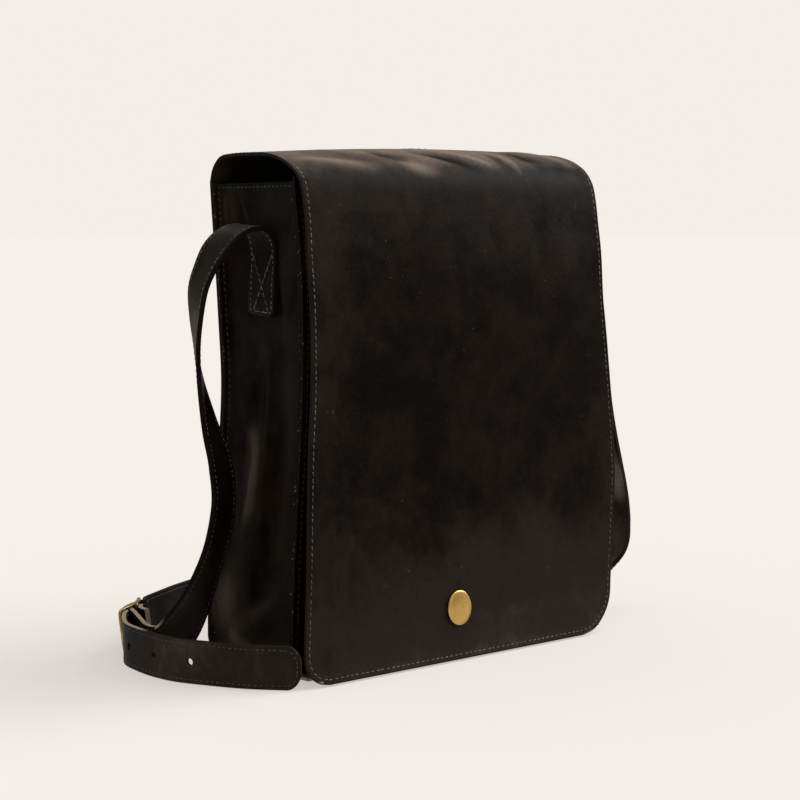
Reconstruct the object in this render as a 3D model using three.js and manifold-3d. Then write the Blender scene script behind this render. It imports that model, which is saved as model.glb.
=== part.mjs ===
// Tall messenger bag of dark waxed leather, standing with its flap closed and its strap laid round it.
// Millimetres, +Z up. The origin is on the floor under the middle of the bag, and the front faces -Y.
import * as THREE from 'three';
import { mergeVertices } from 'three/addons/utils/BufferGeometryUtils.js';
import Module from 'manifold-3d';

const wasm = await Module();
wasm.setup();

// Driving dimensions
const LEATHER = 2.2;              // wall of the body and the flap
const GAP = 0.3;                  // clearance between pieces that touch
const PLY_STEP = LEATHER + GAP;   // from the middle of one wall to the middle of the wall sewn to it
const MARGIN = 6.5;               // seam margin that stands out past the stitching
const FRONT_FOOT_MARGIN = 12;     // seam margin laid on the floor under the front
const BACK_FOOT_MARGIN = 6.5;
const STRAP_WIDTH = 30;
const STRAP_THICK = 3.2;
const FLOOR_GAP = 0.1;            // under what stands on the floor on its edge
const STRAP_ON_EDGE = STRAP_WIDTH / 2 + FLOOR_GAP;
const MOUTH_HEIGHT = 337;         // top edge of the gusset
const FRONT_HEIGHT = 340;         // top edge of the front panel
const BASE_CORNER = 12;           // bend of the gusset between side and bottom
const FLAP_CORNER_LEFT = 20;
const FLAP_CORNER_RIGHT = 32;
const FLAP_FOOT = 1.3;            // lower edge of the flap above the floor
const FRONT_SWELL = 5;            // how far the front panel bows out in its middle
const BACK_SWELL = 6;
const HOLE_RADIUS = 2.5;
const HOLE_STEP = 33;
const FIRST_HOLE = 79;            // from the tip of the strap
const HOLE_COUNT = 4;
const TIP_LENGTH = 10;            // rounded end of the strap
const TIP_BLUNT = 0.28;           // share of the width left at the very end
const TIP_STEPS = 5;
const WELD = 1e-4;                // points nearer than this are one point

// The body by height: the edges of its seam margins, and the planes of its front and back walls
const BODY = [
  { height: 0, left: -145, right: 145, front: -46, back: 53.4 },
  { height: 40, left: -145, right: 145.5, front: -46.5, back: 52 },
  { height: 80, left: -143.4, right: 147.4, front: -46.8, back: 48.4 },
  { height: 120, left: -141.7, right: 149.4, front: -47.8, back: 45.6 },
  { height: 160, left: -139.6, right: 147.6, front: -48.8, back: 44 },
  { height: 200, left: -138, right: 143, front: -49.4, back: 43.6 },
  { height: 245, left: -137.8, right: 137.8, front: -50, back: 47 },
  { height: 290, left: -137.8, right: 137.8, front: -47.4, back: 51 },
  { height: 325, left: -137.3, right: 137.3, front: -42, back: 55.3 },
  { height: 342, left: -137.6, right: 137.6, front: -41, back: 56.2 },
];

// The flap from the back wall over the top and down the front: profile of its left edge, its two edges,
// and how far its middle is lifted, its right edge tilted up and its middle swollen forwards
const FLAP = [
  { y: 56.2, z: 338, left: -137.4, right: 137.4, lift: 0, tilt: 0, swell: -3 },
  { y: 53.6, z: 346.3, left: -137.2, right: 137.2, lift: 1.5, tilt: 1.5, swell: -2 },
  { y: 48.6, z: 352.3, left: -137, right: 137, lift: 2.5, tilt: 3, swell: -1 },
  { y: 41.8, z: 355.4, left: -137, right: 137, lift: 3.2, tilt: 4, swell: 0 },
  { y: 28, z: 356.3, left: -137, right: 137, lift: 3.5, tilt: 4.3, swell: 0 },
  { y: 8, z: 356.2, left: -137, right: 137, lift: 3.7, tilt: 4.5, swell: 0 },
  { y: -10, z: 355.4, left: -137, right: 137, lift: 3.7, tilt: 4.5, swell: 1 },
  { y: -24.4, z: 352.2, left: -137, right: 137, lift: 3.5, tilt: 4.5, swell: 2 },
  { y: -34.4, z: 348, left: -137, right: 137.2, lift: 3, tilt: 4.5, swell: 3 },
  { y: -42.5, z: 342.5, left: -137, right: 137.6, lift: 2.5, tilt: 4, swell: 3.5 },
  { y: -48.6, z: 335, left: -137.2, right: 137.8, lift: 1, tilt: 2.5, swell: 4 },
  { y: -52, z: 323.5, left: -137.6, right: 137.8, lift: 0, tilt: 1, swell: 4 },
  { y: -54.6, z: 308, left: -137.8, right: 137.8, lift: 0, tilt: 0, swell: 4 },
  { y: -57.2, z: 286, left: -138.5, right: 138.6, lift: 0, tilt: 0, swell: 4 },
  { y: -59, z: 250, left: -137.5, right: 139.6, lift: 0, tilt: 0, swell: 4 },
  { y: -59.6, z: 200, left: -137.7, right: 145.6, lift: 0, tilt: 0, swell: 3.5 },
  { y: -59.8, z: 160, left: -140, right: 150, lift: 0, tilt: 0, swell: 3 },
  { y: -61, z: 120, left: -142, right: 151.8, lift: 0, tilt: 0, swell: 2 },
  { y: -62.4, z: 80, left: -143.9, right: 149, lift: 0, tilt: 0, swell: 1 },
  { y: -63.6, z: 40, left: -146.4, right: 145.6, lift: 0, tilt: 0, swell: 0.5 },
  { y: -65.4, z: 24, left: -148.4, right: 143.8, lift: 0, tilt: 0, swell: 0.3 },
  { y: -67.8, z: 10, left: -150, right: 142, lift: 0, tilt: 0, swell: 0.1 },
  { y: -70.4, z: FLAP_FOOT, left: -150.8, right: 141.2, lift: 0, tilt: 0, swell: 0 },
];

// Soft dents: where on the width (-1 left to 1 right), at what height, how deep inwards, and their reach
const FLAP_DENTS = [
  { across: -0.55, height: 262, depth: 1.6, reachAcross: 0.3, reachUp: 60 },
  { across: 0.15, height: 196, depth: 1.8, reachAcross: 0.28, reachUp: 46 },
  { across: -0.3, height: 112, depth: 1.4, reachAcross: 0.34, reachUp: 30 },
  { across: 0.72, height: 250, depth: -1.6, reachAcross: 0.12, reachUp: 50 },
  { across: 0.6, height: 96, depth: 1.6, reachAcross: 0.2, reachUp: 40 },
];
// Dents of the side walls: across runs from the back (-1) to the front (1)
const SIDE_DENTS = [
  { across: -0.62, height: 316, depth: 2.2, reachAcross: 0.12, reachUp: 18 },
  { across: -0.3, height: 186, depth: 4.6, reachAcross: 0.22, reachUp: 34 },
  { across: 0.42, height: 150, depth: 4.4, reachAcross: 0.26, reachUp: 60 },
  { across: 0.05, height: 140, depth: -2.2, reachAcross: 0.12, reachUp: 40 },
  { across: 0.1, height: 62, depth: 3.6, reachAcross: 0.34, reachUp: 26 },
];

// The buckle: where its middle bar stands, the way the strap runs through it, how far its top leans outwards,
// and its frame
const BUCKLE_AT = new THREE.Vector3(-168.9, 107.8, 0);
const BUCKLE_ALONG = new THREE.Vector3(0.75, 0.661, 0).normalize();
const BUCKLE_LEAN = THREE.MathUtils.degToRad(7);
const BUCKLE_UP = new THREE.Vector3(0, 0, 1).applyAxisAngle(BUCKLE_ALONG, -BUCKLE_LEAN);
const BUCKLE_DOWN = BUCKLE_UP.clone().negate();
const BUCKLE_OUT = BUCKLE_UP.clone().cross(BUCKLE_ALONG);
const BUCKLE_HALF = 23;           // from the middle bar to the middle of an end bar
const BUCKLE_ARCH = 5;            // how far the end bars stand out past the middle bar
const BUCKLE_BAR = 3;
const BUCKLE_RAIL = 1.9;
const BUCKLE_PLAY = 0.8;          // room for the strap's width between the rails
const BUCKLE_INSIDE = STRAP_WIDTH + BUCKLE_PLAY;
const BUCKLE_TALL = BUCKLE_INSIDE + 2 * BUCKLE_RAIL;
const BUCKLE_DIP = (BUCKLE_ARCH + BUCKLE_BAR / 2) * Math.sin(BUCKLE_LEAN);
const BUCKLE_MIDDLE = FLOOR_GAP + BUCKLE_DIP + BUCKLE_TALL / 2 * Math.cos(BUCKLE_LEAN);
const BUCKLE_CORNER = 4;
const BUCKLE_BEVEL = 0.4;
const WINDOW_CORNER = 0.2;
const WRAP_PLAY = 0.65;           // between the middle bar and the strap folded round it
const WRAP_RADIUS = BUCKLE_BAR / 2 + WRAP_PLAY + STRAP_THICK / 2;
const LONG_STRAP_OUT = WRAP_RADIUS + STRAP_THICK + GAP;
const END_BAR_PLAY = 1.2;         // between an end bar and the strap under it
const UNDER_END_BAR = BUCKLE_ARCH - BUCKLE_BAR / 2 - END_BAR_PLAY - STRAP_THICK / 2;
const PRONG_RADIUS = 1.1;
const PRONG_HOLE_ALONG = 7.6;
const PRONG_HOLE_STRETCH = 1.5;   // the prong's hole is longer than it is tall
const PRONG_LOOP_PLAY = 0.75;
const PRONG_TIP_PLAY = 0.8;
const PLATE_WIDTH = 22;
const PLATE_HEIGHT = 25;
const PLATE_THICK = 2.4;
const PLATE_GAP = 2 * GAP;        // behind the plate, at its middle
const PLATE_X = -11.5;
const PLATE_Z = 37.5;
const PLATE_LEAN = -0.07;         // the flap slopes out to its foot
const STUD_RADIUS = 7;
const STUD_FRONT_GAP = 0.5;
const STUD_BACK_GAP = 0.6;
const STUD_SIDES = 20;
const ROUND_SIDES = 28;           // sides of the plate's outline

const UP = new THREE.Vector3(0, 0, 1);
const DOWN = new THREE.Vector3(0, 0, -1);

function leather(colour) {
  return new THREE.MeshStandardMaterial({ color: colour, roughness: 0.55, metalness: 0 });
}

function brass(colour) {
  return new THREE.MeshStandardMaterial({ color: colour, roughness: 0.35, metalness: 1 });
}

// A smooth function through one column of a table, over the column that is its key
function smoothColumn(table, key, column) {
  const at = (index) => table[THREE.MathUtils.clamp(index, 0, table.length - 1)];
  const slope = (index) => {
    const before = at(index - 1);
    const after = at(index + 1);
    return (after[column] - before[column]) / (after[key] - before[key]);
  };
  return (value) => {
    let index = 0;
    while (index < table.length - 2 && value > table[index + 1][key]) index += 1;
    const low = table[index];
    const high = table[index + 1];
    const span = high[key] - low[key];
    const t = THREE.MathUtils.clamp((value - low[key]) / span, 0, 1);
    const fall = (1 - t) * (1 - t);
    const rise = t * t;
    return (1 + 2 * t) * fall * low[column] + t * fall * span * slope(index)
      + rise * (3 - 2 * t) * high[column] - rise * (1 - t) * span * slope(index + 1);
  };
}

const bodyLeft = smoothColumn(BODY, 'height', 'left');
const bodyRight = smoothColumn(BODY, 'height', 'right');
const bodyFront = smoothColumn(BODY, 'height', 'front');
const bodyBack = smoothColumn(BODY, 'height', 'back');

function dentDepth(table, across, height) {
  const depths = table.map((dent) => {
    const a = (across - dent.across) / dent.reachAcross;
    const h = (height - dent.height) / dent.reachUp;
    return dent.depth * Math.exp(-(a * a + h * h));
  });
  return depths.reduce((sum, depth) => sum + depth, 0);
}

function spread(low, high, steps) {
  return Array.from({ length: steps + 1 }, (_, index) => low + (high - low) * index / Math.max(1, steps));
}

// A closed wall of even thickness about a grid of points: rows of columns
function wallGeometry(grid, thickness) {
  const rows = grid.length;
  const columns = grid[0].length;
  const positions = [];
  const index = [];
  const normalAt = (r, c) => {
    const down = grid[Math.min(r + 1, rows - 1)][c].clone().sub(grid[Math.max(r - 1, 0)][c]);
    const side = grid[r][Math.min(c + 1, columns - 1)].clone().sub(grid[r][Math.max(c - 1, 0)]);
    return side.cross(down).normalize();
  };
  for (const offset of [thickness / 2, -thickness / 2]) {
    for (let r = 0; r < rows; r += 1) {
      for (let c = 0; c < columns; c += 1) {
        positions.push(...grid[r][c].clone().addScaledVector(normalAt(r, c), offset).toArray());
      }
    }
  }
  const back = rows * columns;
  const id = (r, c) => r * columns + c;
  for (let r = 0; r < rows - 1; r += 1) {
    for (let c = 0; c < columns - 1; c += 1) {
      const [p, q, s, t] = [id(r, c), id(r, c + 1), id(r + 1, c + 1), id(r + 1, c)];
      index.push(p, q, t, q, s, t);
      index.push(back + p, back + t, back + q, back + q, back + t, back + s);
    }
  }
  const rim = [
    ...spread(0, columns - 1, columns - 1).map((c) => id(0, c)),
    ...spread(1, rows - 1, rows - 2).map((r) => id(r, columns - 1)),
    ...spread(columns - 2, 0, columns - 2).map((c) => id(rows - 1, c)),
    ...spread(rows - 2, 1, rows - 3).map((r) => id(r, 0)),
  ];
  rim.forEach((p, place) => {
    const q = rim[(place + 1) % rim.length];
    index.push(p, back + p, back + q, p, back + q, q);
  });
  const geometry = new THREE.BufferGeometry();
  geometry.setAttribute('position', new THREE.Float32BufferAttribute(positions, 3));
  geometry.setIndex(index);
  return geometry;
}

function toSolid(geometry) {
  const bare = geometry.clone();
  bare.deleteAttribute('normal');
  bare.deleteAttribute('uv');
  const merged = mergeVertices(bare, WELD);
  return new wasm.Manifold(new wasm.Mesh({
    numProp: 3,
    vertProperties: new Float32Array(merged.getAttribute('position').array),
    triVerts: new Uint32Array(merged.getIndex().array),
  }));
}

function toGeometry(solid) {
  const mesh = solid.getMesh();
  const geometry = new THREE.BufferGeometry();
  geometry.setAttribute('position', new THREE.Float32BufferAttribute(mesh.vertProperties, mesh.numProp));
  geometry.setIndex(Array.from(mesh.triVerts));
  return geometry;
}

function cutAway(geometry, cutters) {
  const whole = toSolid(geometry);
  return toGeometry(cutters.reduce((solid, cutter) => solid.subtract(toSolid(cutter)), whole));
}

function piece(name, geometry, material) {
  const mesh = new THREE.Mesh(geometry, material);
  mesh.name = name;
  return mesh;
}

// A wall's lower rows: share of the foot margin, and half the width, trimmed round the corner of the base
const FOOT_ROWS = [
  { share: 1, height: 3.75, half: 140 },
  { share: 0.3, height: 3.75, half: 140.6 },
  { share: 0.08, height: 4.3, half: 141.2 },
  { share: 0, height: 5.75, half: 142 },
  { share: 0, height: 10, half: 143.8 },
  { share: 0, height: 16, half: 145 },
];
const TRIM_TOP = 28;              // above this height the side margins have their full width
const TRIMMED = 0.35;             // share of the margin left round the corner
const LAID_FLAT = 1.2;            // turn of the corner past which the margin lies on the floor
// Heights of the rows that the walls and the gusset share, so that their seam margins lie flat together
const SEAM_HEIGHTS = [TRIM_TOP, 44, 66, 92, 120, 148, 176, 204, 230, 254, 276, 296, 312, 326];
const WALL_COLUMNS = spread(-1, 1, 12);
const FULLEST = 0.8;              // below 1 the fullest place of a wall is below its middle

// How far a wall bows out in its middle: nothing at the seams and at the foot
function wallSwell(across, height, most) {
  return most * (1 - across * across) * Math.sin(Math.PI * Math.min(1, height / FRONT_HEIGHT) ** FULLEST);
}

// A wall with its foot margin bent out onto the floor. facing is -1 for the front and 1 for the back
function wallRows(heights, planeAt, facing, footMargin, most) {
  const foot = FOOT_ROWS.map((row) => WALL_COLUMNS.map((across) => {
    const out = row.share * footMargin + wallSwell(across, row.height, most);
    return new THREE.Vector3(across * row.half, planeAt(row.height) + facing * out, row.height);
  }));
  const upper = heights.map((height) => WALL_COLUMNS.map((across) => {
    const x = THREE.MathUtils.lerp(bodyLeft(height), bodyRight(height), (across + 1) / 2);
    return new THREE.Vector3(x, planeAt(height) + facing * wallSwell(across, height, most), height);
  }));
  return [...foot, ...upper];
}

function frontPanel() {
  const grid = wallRows([...SEAM_HEIGHTS, FRONT_HEIGHT], bodyFront, -1, FRONT_FOOT_MARGIN, FRONT_SWELL);
  return piece('front_panel', wallGeometry(grid.reverse(), LEATHER), leather('#2a2725'));
}

// Place on the flap: along counts its table's rows, across runs from the left edge to the right one
const flapRow = FLAP.map((row, index) => ({ index, ...row }));
const flapColumn = Object.fromEntries(['y', 'z', 'left', 'right', 'lift', 'tilt', 'swell'].map(
  (column) => [column, smoothColumn(flapRow, 'index', column)]));

// How far a rounded lower corner draws the edge in, at a height above the lower edge
function cornerInset(radius, above) {
  const short = Math.max(0, radius - above);
  return radius - Math.sqrt(Math.max(0, radius * radius - short * short));
}

function flapPoint(along, across) {
  const z = flapColumn.z(along);
  const onFront = along > FLAP.length / 2;
  const above = onFront ? z - FLAP_FOOT : Infinity;
  const left = flapColumn.left(along) + (onFront ? cornerInset(FLAP_CORNER_LEFT, above) : 0);
  const right = flapColumn.right(along) - (onFront ? cornerInset(FLAP_CORNER_RIGHT, above) : 0);
  const share = (across + 1) / 2;
  const crown = 1 - across * across;
  const dent = onFront ? dentDepth(FLAP_DENTS, across, z) : 0;
  return new THREE.Vector3(
    THREE.MathUtils.lerp(left, right, share),
    flapColumn.y(along) - crown * flapColumn.swell(along) + dent,
    z + crown * flapColumn.lift(along) + share * flapColumn.tilt(along),
  );
}

const FLAP_ROUNDED = FLAP.length - 4;   // the table's row above the rounded lower corners
const FLAP_TOP_STEPS = 11;        // two rows of the grid for each of the table's first rows
const FLAP_FOOT_STEPS = 10;       // rows of the grid round the lower corners

function backAndFlap() {
  const back = wallRows(SEAM_HEIGHTS, bodyBack, 1, BACK_FOOT_MARGIN, BACK_SWELL);
  const fold = spread(0, FLAP_TOP_STEPS, 2 * FLAP_TOP_STEPS);
  const drop = spread(FLAP_TOP_STEPS + 1, FLAP_ROUNDED, FLAP_ROUNDED - FLAP_TOP_STEPS - 1);
  const foot = spread(FLAP_ROUNDED, FLAP.length - 1, FLAP_FOOT_STEPS).slice(1);
  const flap = [...fold, ...drop, ...foot].map((along) => (
    WALL_COLUMNS.map((across) => flapPoint(along, across))));
  const grid = [...back, ...flap];
  return piece('back_and_flap', wallGeometry(grid, LEATHER), leather('#262322'));
}

const BASE_STEPS = 6;             // steps round the gusset's corner
const TRIM_RUN = 12;              // along the bottom, from the corner to where the margin has its full width
const BOTTOM_SHARES = [0.6, 0.2]; // of the half bottom, where it has stations

// Stations of the gusset's path from the top of the left side, round the bottom, to the top of the right
// side. margin is how much of the seam margin is left, and flat is 1 where that margin lies on the floor
function gussetStations() {
  const floor = LEATHER / 2;
  const bend = floor + BASE_CORNER;
  const foot = bodyRight(bend) - MARGIN;
  const side = [bend, ...SEAM_HEIGHTS, MOUTH_HEIGHT].reverse().map((height) => ({
    x: bodyLeft(height) + MARGIN,
    z: height,
    out: new THREE.Vector3(-1, 0, 0),
    margin: height > bend ? 1 : TRIMMED,
    flat: 0,
  }));
  const arc = spread(0, Math.PI / 2, BASE_STEPS).slice(1).map((angle) => ({
    x: -foot + BASE_CORNER * (1 - Math.cos(angle)),
    z: bend - BASE_CORNER * Math.sin(angle),
    out: new THREE.Vector3(-Math.cos(angle), 0, -Math.sin(angle)),
    margin: TRIMMED,
    flat: angle > LAID_FLAT ? 1 : 0,
  }));
  const straight = foot - BASE_CORNER;
  const places = [straight - TRIM_RUN, ...BOTTOM_SHARES.map((share) => share * straight)];
  const bottom = places.map((x) => ({
    x: -x,
    z: floor,
    out: DOWN.clone(),
    margin: 1,
    flat: 1,
  }));
  const half = [...side, ...arc, ...bottom];
  const mirrored = half.map((station) => ({
    ...station,
    x: station.z > bend ? bodyRight(station.z) - MARGIN : -station.x,
    out: new THREE.Vector3(-station.out.x, 0, station.out.z),
  }));
  return [...half, ...mirrored.reverse()];
}

const GUSSET_COLUMNS = spread(-1, 1, 8);
const GUSSET_BEND = 1.5;          // from the wall to the flat of its seam margin
const GUSSET_TURN = 0.3 * GUSSET_BEND;
const DENT_FADE = 8;              // power by which dents fade towards the seams

function gusset() {
  const grid = gussetStations().map((station) => {
    const middle = new THREE.Vector3(station.x, 0, station.z);
    const planes = { back: bodyBack(station.z) - PLY_STEP, front: bodyFront(station.z) + PLY_STEP };
    const marginPoints = (plane, facing, footMargin) => {
      const sideways = new THREE.Vector3(0, facing, 0);
      const way = station.flat ? sideways : station.out;
      const base = middle.clone().setY(plane);
      const reach = station.flat ? footMargin + PLY_STEP : MARGIN;
      const tip = base.clone().addScaledVector(way, station.margin * reach);
      const root = base.clone().addScaledVector(way, GUSSET_BEND);
      const turn = base.clone().addScaledVector(way, GUSSET_TURN).addScaledVector(sideways, -GUSSET_TURN);
      return [tip, root, turn];
    };
    const inner = GUSSET_COLUMNS.map((across) => {
      const y = THREE.MathUtils.lerp(planes.back - GUSSET_BEND, planes.front + GUSSET_BEND, (across + 1) / 2);
      const depth = station.flat ? 0 : dentDepth(SIDE_DENTS, across, station.z) * (1 - across ** DENT_FADE);
      return middle.clone().setY(y).addScaledVector(station.out, -depth);
    });
    const backMargin = marginPoints(planes.back, 1, BACK_FOOT_MARGIN);
    const frontMargin = marginPoints(planes.front, -1, FRONT_FOOT_MARGIN);
    return [...backMargin, ...inner, ...frontMargin.reverse()];
  });
  return piece('gusset', wallGeometry(grid, LEATHER), leather('#2b2623'));
}

// One place along a strap: the middle of its width, the way from its first edge to its second, and onwards
function strapSection(at, across, tangent) {
  return { at, across, tangent, pointAt: (offset) => at.clone().addScaledVector(across, offset) };
}

// Sections of a strap through stations that give its middle and the way across it
function strapSections(stations, stepsPerStation) {
  const places = new THREE.CatmullRomCurve3(stations.map((s) => s.at), false, 'centripetal');
  const ways = new THREE.CatmullRomCurve3(stations.map((s) => s.across), false, 'catmullrom', 0.5);
  const count = (stations.length - 1) * stepsPerStation;
  return spread(0, 1, count).map((t) => {
    const tangent = places.getTangent(t);
    const across = ways.getPoint(t);
    across.addScaledVector(tangent, -across.dot(tangent)).normalize();
    return strapSection(places.getPoint(t), across, tangent);
  });
}

const STRAP_COLUMNS = [-0.5, 0, 0.5];
const STRAP_STEPS = 2;            // sections for each station of a strap's table

function strapGeometry(sections, widthAt) {
  const grid = sections.map((section, index) => STRAP_COLUMNS.map(
    (share) => section.pointAt(share * widthAt(index))));
  return wallGeometry(grid, STRAP_THICK);
}

function station(x, y, z, across) {
  return { at: new THREE.Vector3(x, y, z), across: across.clone().normalize() };
}

// A place at the buckle: along the strap and out from the middle bar, half-way up the bar
function atBuckle(along, out) {
  const middle = BUCKLE_AT.clone().setZ(BUCKLE_MIDDLE);
  return middle.addScaledVector(BUCKLE_ALONG, along).addScaledVector(BUCKLE_OUT, out);
}

const ALONG_Y = new THREE.Vector3(0, 1, 0);

// The sewn end and the arch above it, alike on both sides: hand is -1 for the left side and 1 for the right
const SEWN_ARCH = [
  { out: 134.3, y: -0.6, height: 246 },
  { out: 134.3, y: -2, height: 268 },
  { out: 134.6, y: -3.6, height: 288 },
  { out: 137.5, y: -4.6, height: 299.2 },
  { out: 144, y: -4.4, height: 305.6 },
  { out: 153, y: -3.2, height: 306 },
  { out: 162.2, y: -1.6, height: 301.8 },
  { out: 171, y: 0.2, height: 293 },
];
const SEWN_LEAN = new THREE.Vector3(0, 1, 0.06);

function sewnArch(hand) {
  return SEWN_ARCH.map((row) => station(hand * row.out, row.y, row.height, SEWN_LEAN));
}

// The short strap below its arch: it turns edge-on, then lies over to stand on the floor on its second edge
const SHORT_STRAP = [
  { x: -178.8, y: 1.5, z: 280, ax: 0.1, ay: 1, az: 0 },
  { x: -184.6, y: 2, z: 266, ax: 0.2, ay: 0.98, az: 0 },
  { x: -186.6, y: 2, z: 248, ax: 0.35, ay: 0.94, az: 0 },
  { x: -186.4, y: 2, z: 228, ax: 0.5, ay: 0.87, az: 0 },
  { x: -184.6, y: 2, z: 207, ax: 0.58, ay: 0.81, az: 0 },
  { x: -175.6, y: 3.5, z: 172, ax: 0.77, ay: 0.64, az: 0 },
  { x: -166, y: 6, z: 147, ax: 0.87, ay: 0.5, az: 0 },
  { x: -161, y: 9, z: 120, ax: 0.88, ay: 0.46, az: -0.12 },
  { x: -162, y: 14, z: 94, ax: 0.92, ay: 0.4, az: 0 },
  { x: -165, y: 20.5, z: 74, ax: 0.9, ay: 0.4, az: -0.15 },
  { x: -170.5, y: 29, z: 50, ax: 0.76, ay: 0.32, az: -0.55 },
  { x: -178, y: 38, z: 29, ax: 0.4, ay: 0.15, az: -0.9 },
  { x: -185.5, y: 43.5, z: 17.5, ax: 0.05, ay: 0, az: -1 },
  { x: -192.5, y: 48.5, z: 15.5, ax: 0, ay: 0, az: -1 },
  { x: -193.5, y: 57, z: 15.5, ax: 0, ay: 0, az: -1 },
  { x: -188, y: 74, z: 16.4, ax: 0, ay: 0, az: -1 },
  { x: -181.3, y: 91, z: 17.8, ax: 0.05, ay: -0.06, az: -1 },
];

function tableStation(row) {
  return station(row.x, row.y, row.z, new THREE.Vector3(row.ax, row.ay, row.az));
}

// The end folded round the middle bar, from its outer side to its inner one, and the folded-back tongue
const WRAP_STEPS = 6;
const TO_BAR = [
  { along: -10, out: 0.8 },
  { along: -5, out: 3 },
];
const TONGUE = [
  { along: -8, out: -5.8 },
  { along: -15, out: -10 },
  { along: -21, out: -14.6 },
];

function shortStrapStations() {
  const turn = spread(Math.PI / 2, -Math.PI / 2, WRAP_STEPS).map((angle) => ({
    along: WRAP_RADIUS * Math.cos(angle),
    out: WRAP_RADIUS * Math.sin(angle),
  }));
  const folded = [...TO_BAR, ...turn, ...TONGUE].map((row) => {
    const place = atBuckle(row.along, row.out);
    return station(place.x, place.y, place.z, BUCKLE_DOWN);
  });
  return [...sewnArch(-1), ...SHORT_STRAP.map(tableStation), ...folded];
}

// The slot for the prong in the folded end
const SLOT_HEIGHT = 5.4;
const SLOT_LENGTH = 2 * WRAP_RADIUS + 6;
const SLOT_ALONG = 2;

function strapBuckleEnd() {
  const sections = strapSections(shortStrapStations(), STRAP_STEPS);
  const slot = new THREE.BoxGeometry(SLOT_LENGTH, SLOT_HEIGHT, 4 * WRAP_RADIUS);
  slot.applyMatrix4(buckleMatrix(SLOT_ALONG, 0));
  const geometry = cutAway(strapGeometry(sections, () => STRAP_WIDTH), [slot]);
  return piece('strap_buckle_end', geometry, leather('#2c2826'));
}

// The long strap below its arch, hanging out from the side
const LONG_HANG = [
  { x: 178.8, y: 1.5, z: 280, ax: 0, ay: 1, az: 0 },
  { x: 184.2, y: 2, z: 264, ax: 0, ay: 1, az: 0 },
  { x: 187.4, y: 1.5, z: 244, ax: 0, ay: 1, az: 0 },
  { x: 190, y: 0.5, z: 219, ax: 0, ay: 1, az: 0 },
  { x: 191.6, y: -1, z: 194, ax: 0, ay: 1, az: 0 },
  { x: 192.8, y: -3, z: 170, ax: 0, ay: 1, az: 0 },
  { x: 196, y: -5, z: 147, ax: 0, ay: 1, az: 0 },
  { x: 200.2, y: -7, z: 125, ax: 0, ay: 1, az: 0 },
  { x: 204.6, y: -8.6, z: 104, ax: 0, ay: 1, az: 0 },
  { x: 207.2, y: -9.4, z: 89, ax: 0, ay: 1, az: 0 },
];

// The soft fold at its foot: the strap rolls half a turn about a slanting axis, from hanging flat to standing
// on its edge, so that it heads back along the floor
const ROLL_RADIUS = 16;
const ROLL_AXIS = new THREE.Vector3(0, 1, -1).normalize();
const ROLL_LENGTH = Math.PI * ROLL_RADIUS * Math.SQRT2;
const ROLL_RUN = 24;              // flat strap on either side of the roll
const ROLL_STEPS = 20;
const ROLL_START = new THREE.Vector3(208.6, -9.8, STRAP_ON_EDGE + ROLL_LENGTH / 2);

// On the floor behind the bag, on its edge, and the free end in front of the buckle: how far the edge is off the
// floor, and the share of the buckle's lean
const LONG_LAID = [
  { x: 177, y: 66, rise: 0 },
  { x: 175.6, y: 86, rise: 0 },
  { x: 169, y: 110, rise: 0 },
  { x: 154, y: 137, rise: 0 },
  { x: 125, y: 164, rise: 0 },
  { x: 84, y: 185, rise: 0 },
  { x: 35, y: 195, rise: 0 },
  { x: -15, y: 194, rise: 0 },
  { x: -58, y: 185.5, rise: 0 },
  { x: -92, y: 171, rise: 0.1 },
  { x: -122, y: 151, rise: 1, lean: 0.4 },
];
// Through the buckle: under one end bar, over the middle bar and under the other end bar
const OVER_BAR = 0.9 * LONG_STRAP_OUT;
const ON_SLOPE = 0.56 * LONG_STRAP_OUT;
const LONG_IN_BUCKLE = [
  { along: 31, out: 2.2 },
  { along: 25, out: UNDER_END_BAR },
  { along: 21, out: UNDER_END_BAR },
  { along: 14, out: ON_SLOPE },
  { along: 7, out: OVER_BAR },
  { along: 0, out: LONG_STRAP_OUT },
  { along: -7, out: OVER_BAR },
  { along: -14, out: ON_SLOPE },
  { along: -21, out: UNDER_END_BAR },
  { along: -25, out: UNDER_END_BAR },
];
const FREE_END = [
  { x: -200.9, y: 73.2, rise: 0.6, lean: 0 },
  { x: -204.6, y: 48, rise: 0.1, lean: -0.6 },
  { x: -204.4, y: 25, rise: 0, lean: -1 },
  { x: -200.6, y: 6, rise: 0, lean: -1 },
  { x: -193, y: -10.5, rise: 0, lean: -0.7 },
  { x: -177, y: -38.5, rise: 0, lean: -0.4 },
  { x: -158, y: -60, rise: 0 },
  { x: -151.4, y: -66.4, rise: 0 },
];

// A place on the rolled strap: length along it from the roll's start, and offset from the middle of its width
function rollPoint(length, offset) {
  const around = (length - offset) * Math.SQRT1_2;
  const along = (length + offset) * Math.SQRT1_2;
  const angle = THREE.MathUtils.clamp(around / ROLL_RADIUS, 0, Math.PI);
  const radius = new THREE.Vector3(1, 0, 0).applyAxisAngle(ROLL_AXIS, angle);
  const onwards = ROLL_AXIS.clone().cross(radius);
  return ROLL_START.clone()
    .add(new THREE.Vector3(-ROLL_RADIUS, 0, 0))
    .addScaledVector(radius, ROLL_RADIUS)
    .addScaledVector(onwards, around - angle * ROLL_RADIUS)
    .addScaledVector(ROLL_AXIS, along);
}

function rollSections() {
  return spread(-ROLL_RUN, ROLL_LENGTH + ROLL_RUN, ROLL_STEPS).map((length) => {
    const across = rollPoint(length, 1).sub(rollPoint(length, -1)).normalize();
    const tangent = rollPoint(length + 1, 0).sub(rollPoint(length - 1, 0)).normalize();
    const flat = strapSection(rollPoint(length, 0), across, tangent);
    return { ...flat, pointAt: (offset) => rollPoint(length, offset) };
  });
}

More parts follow.
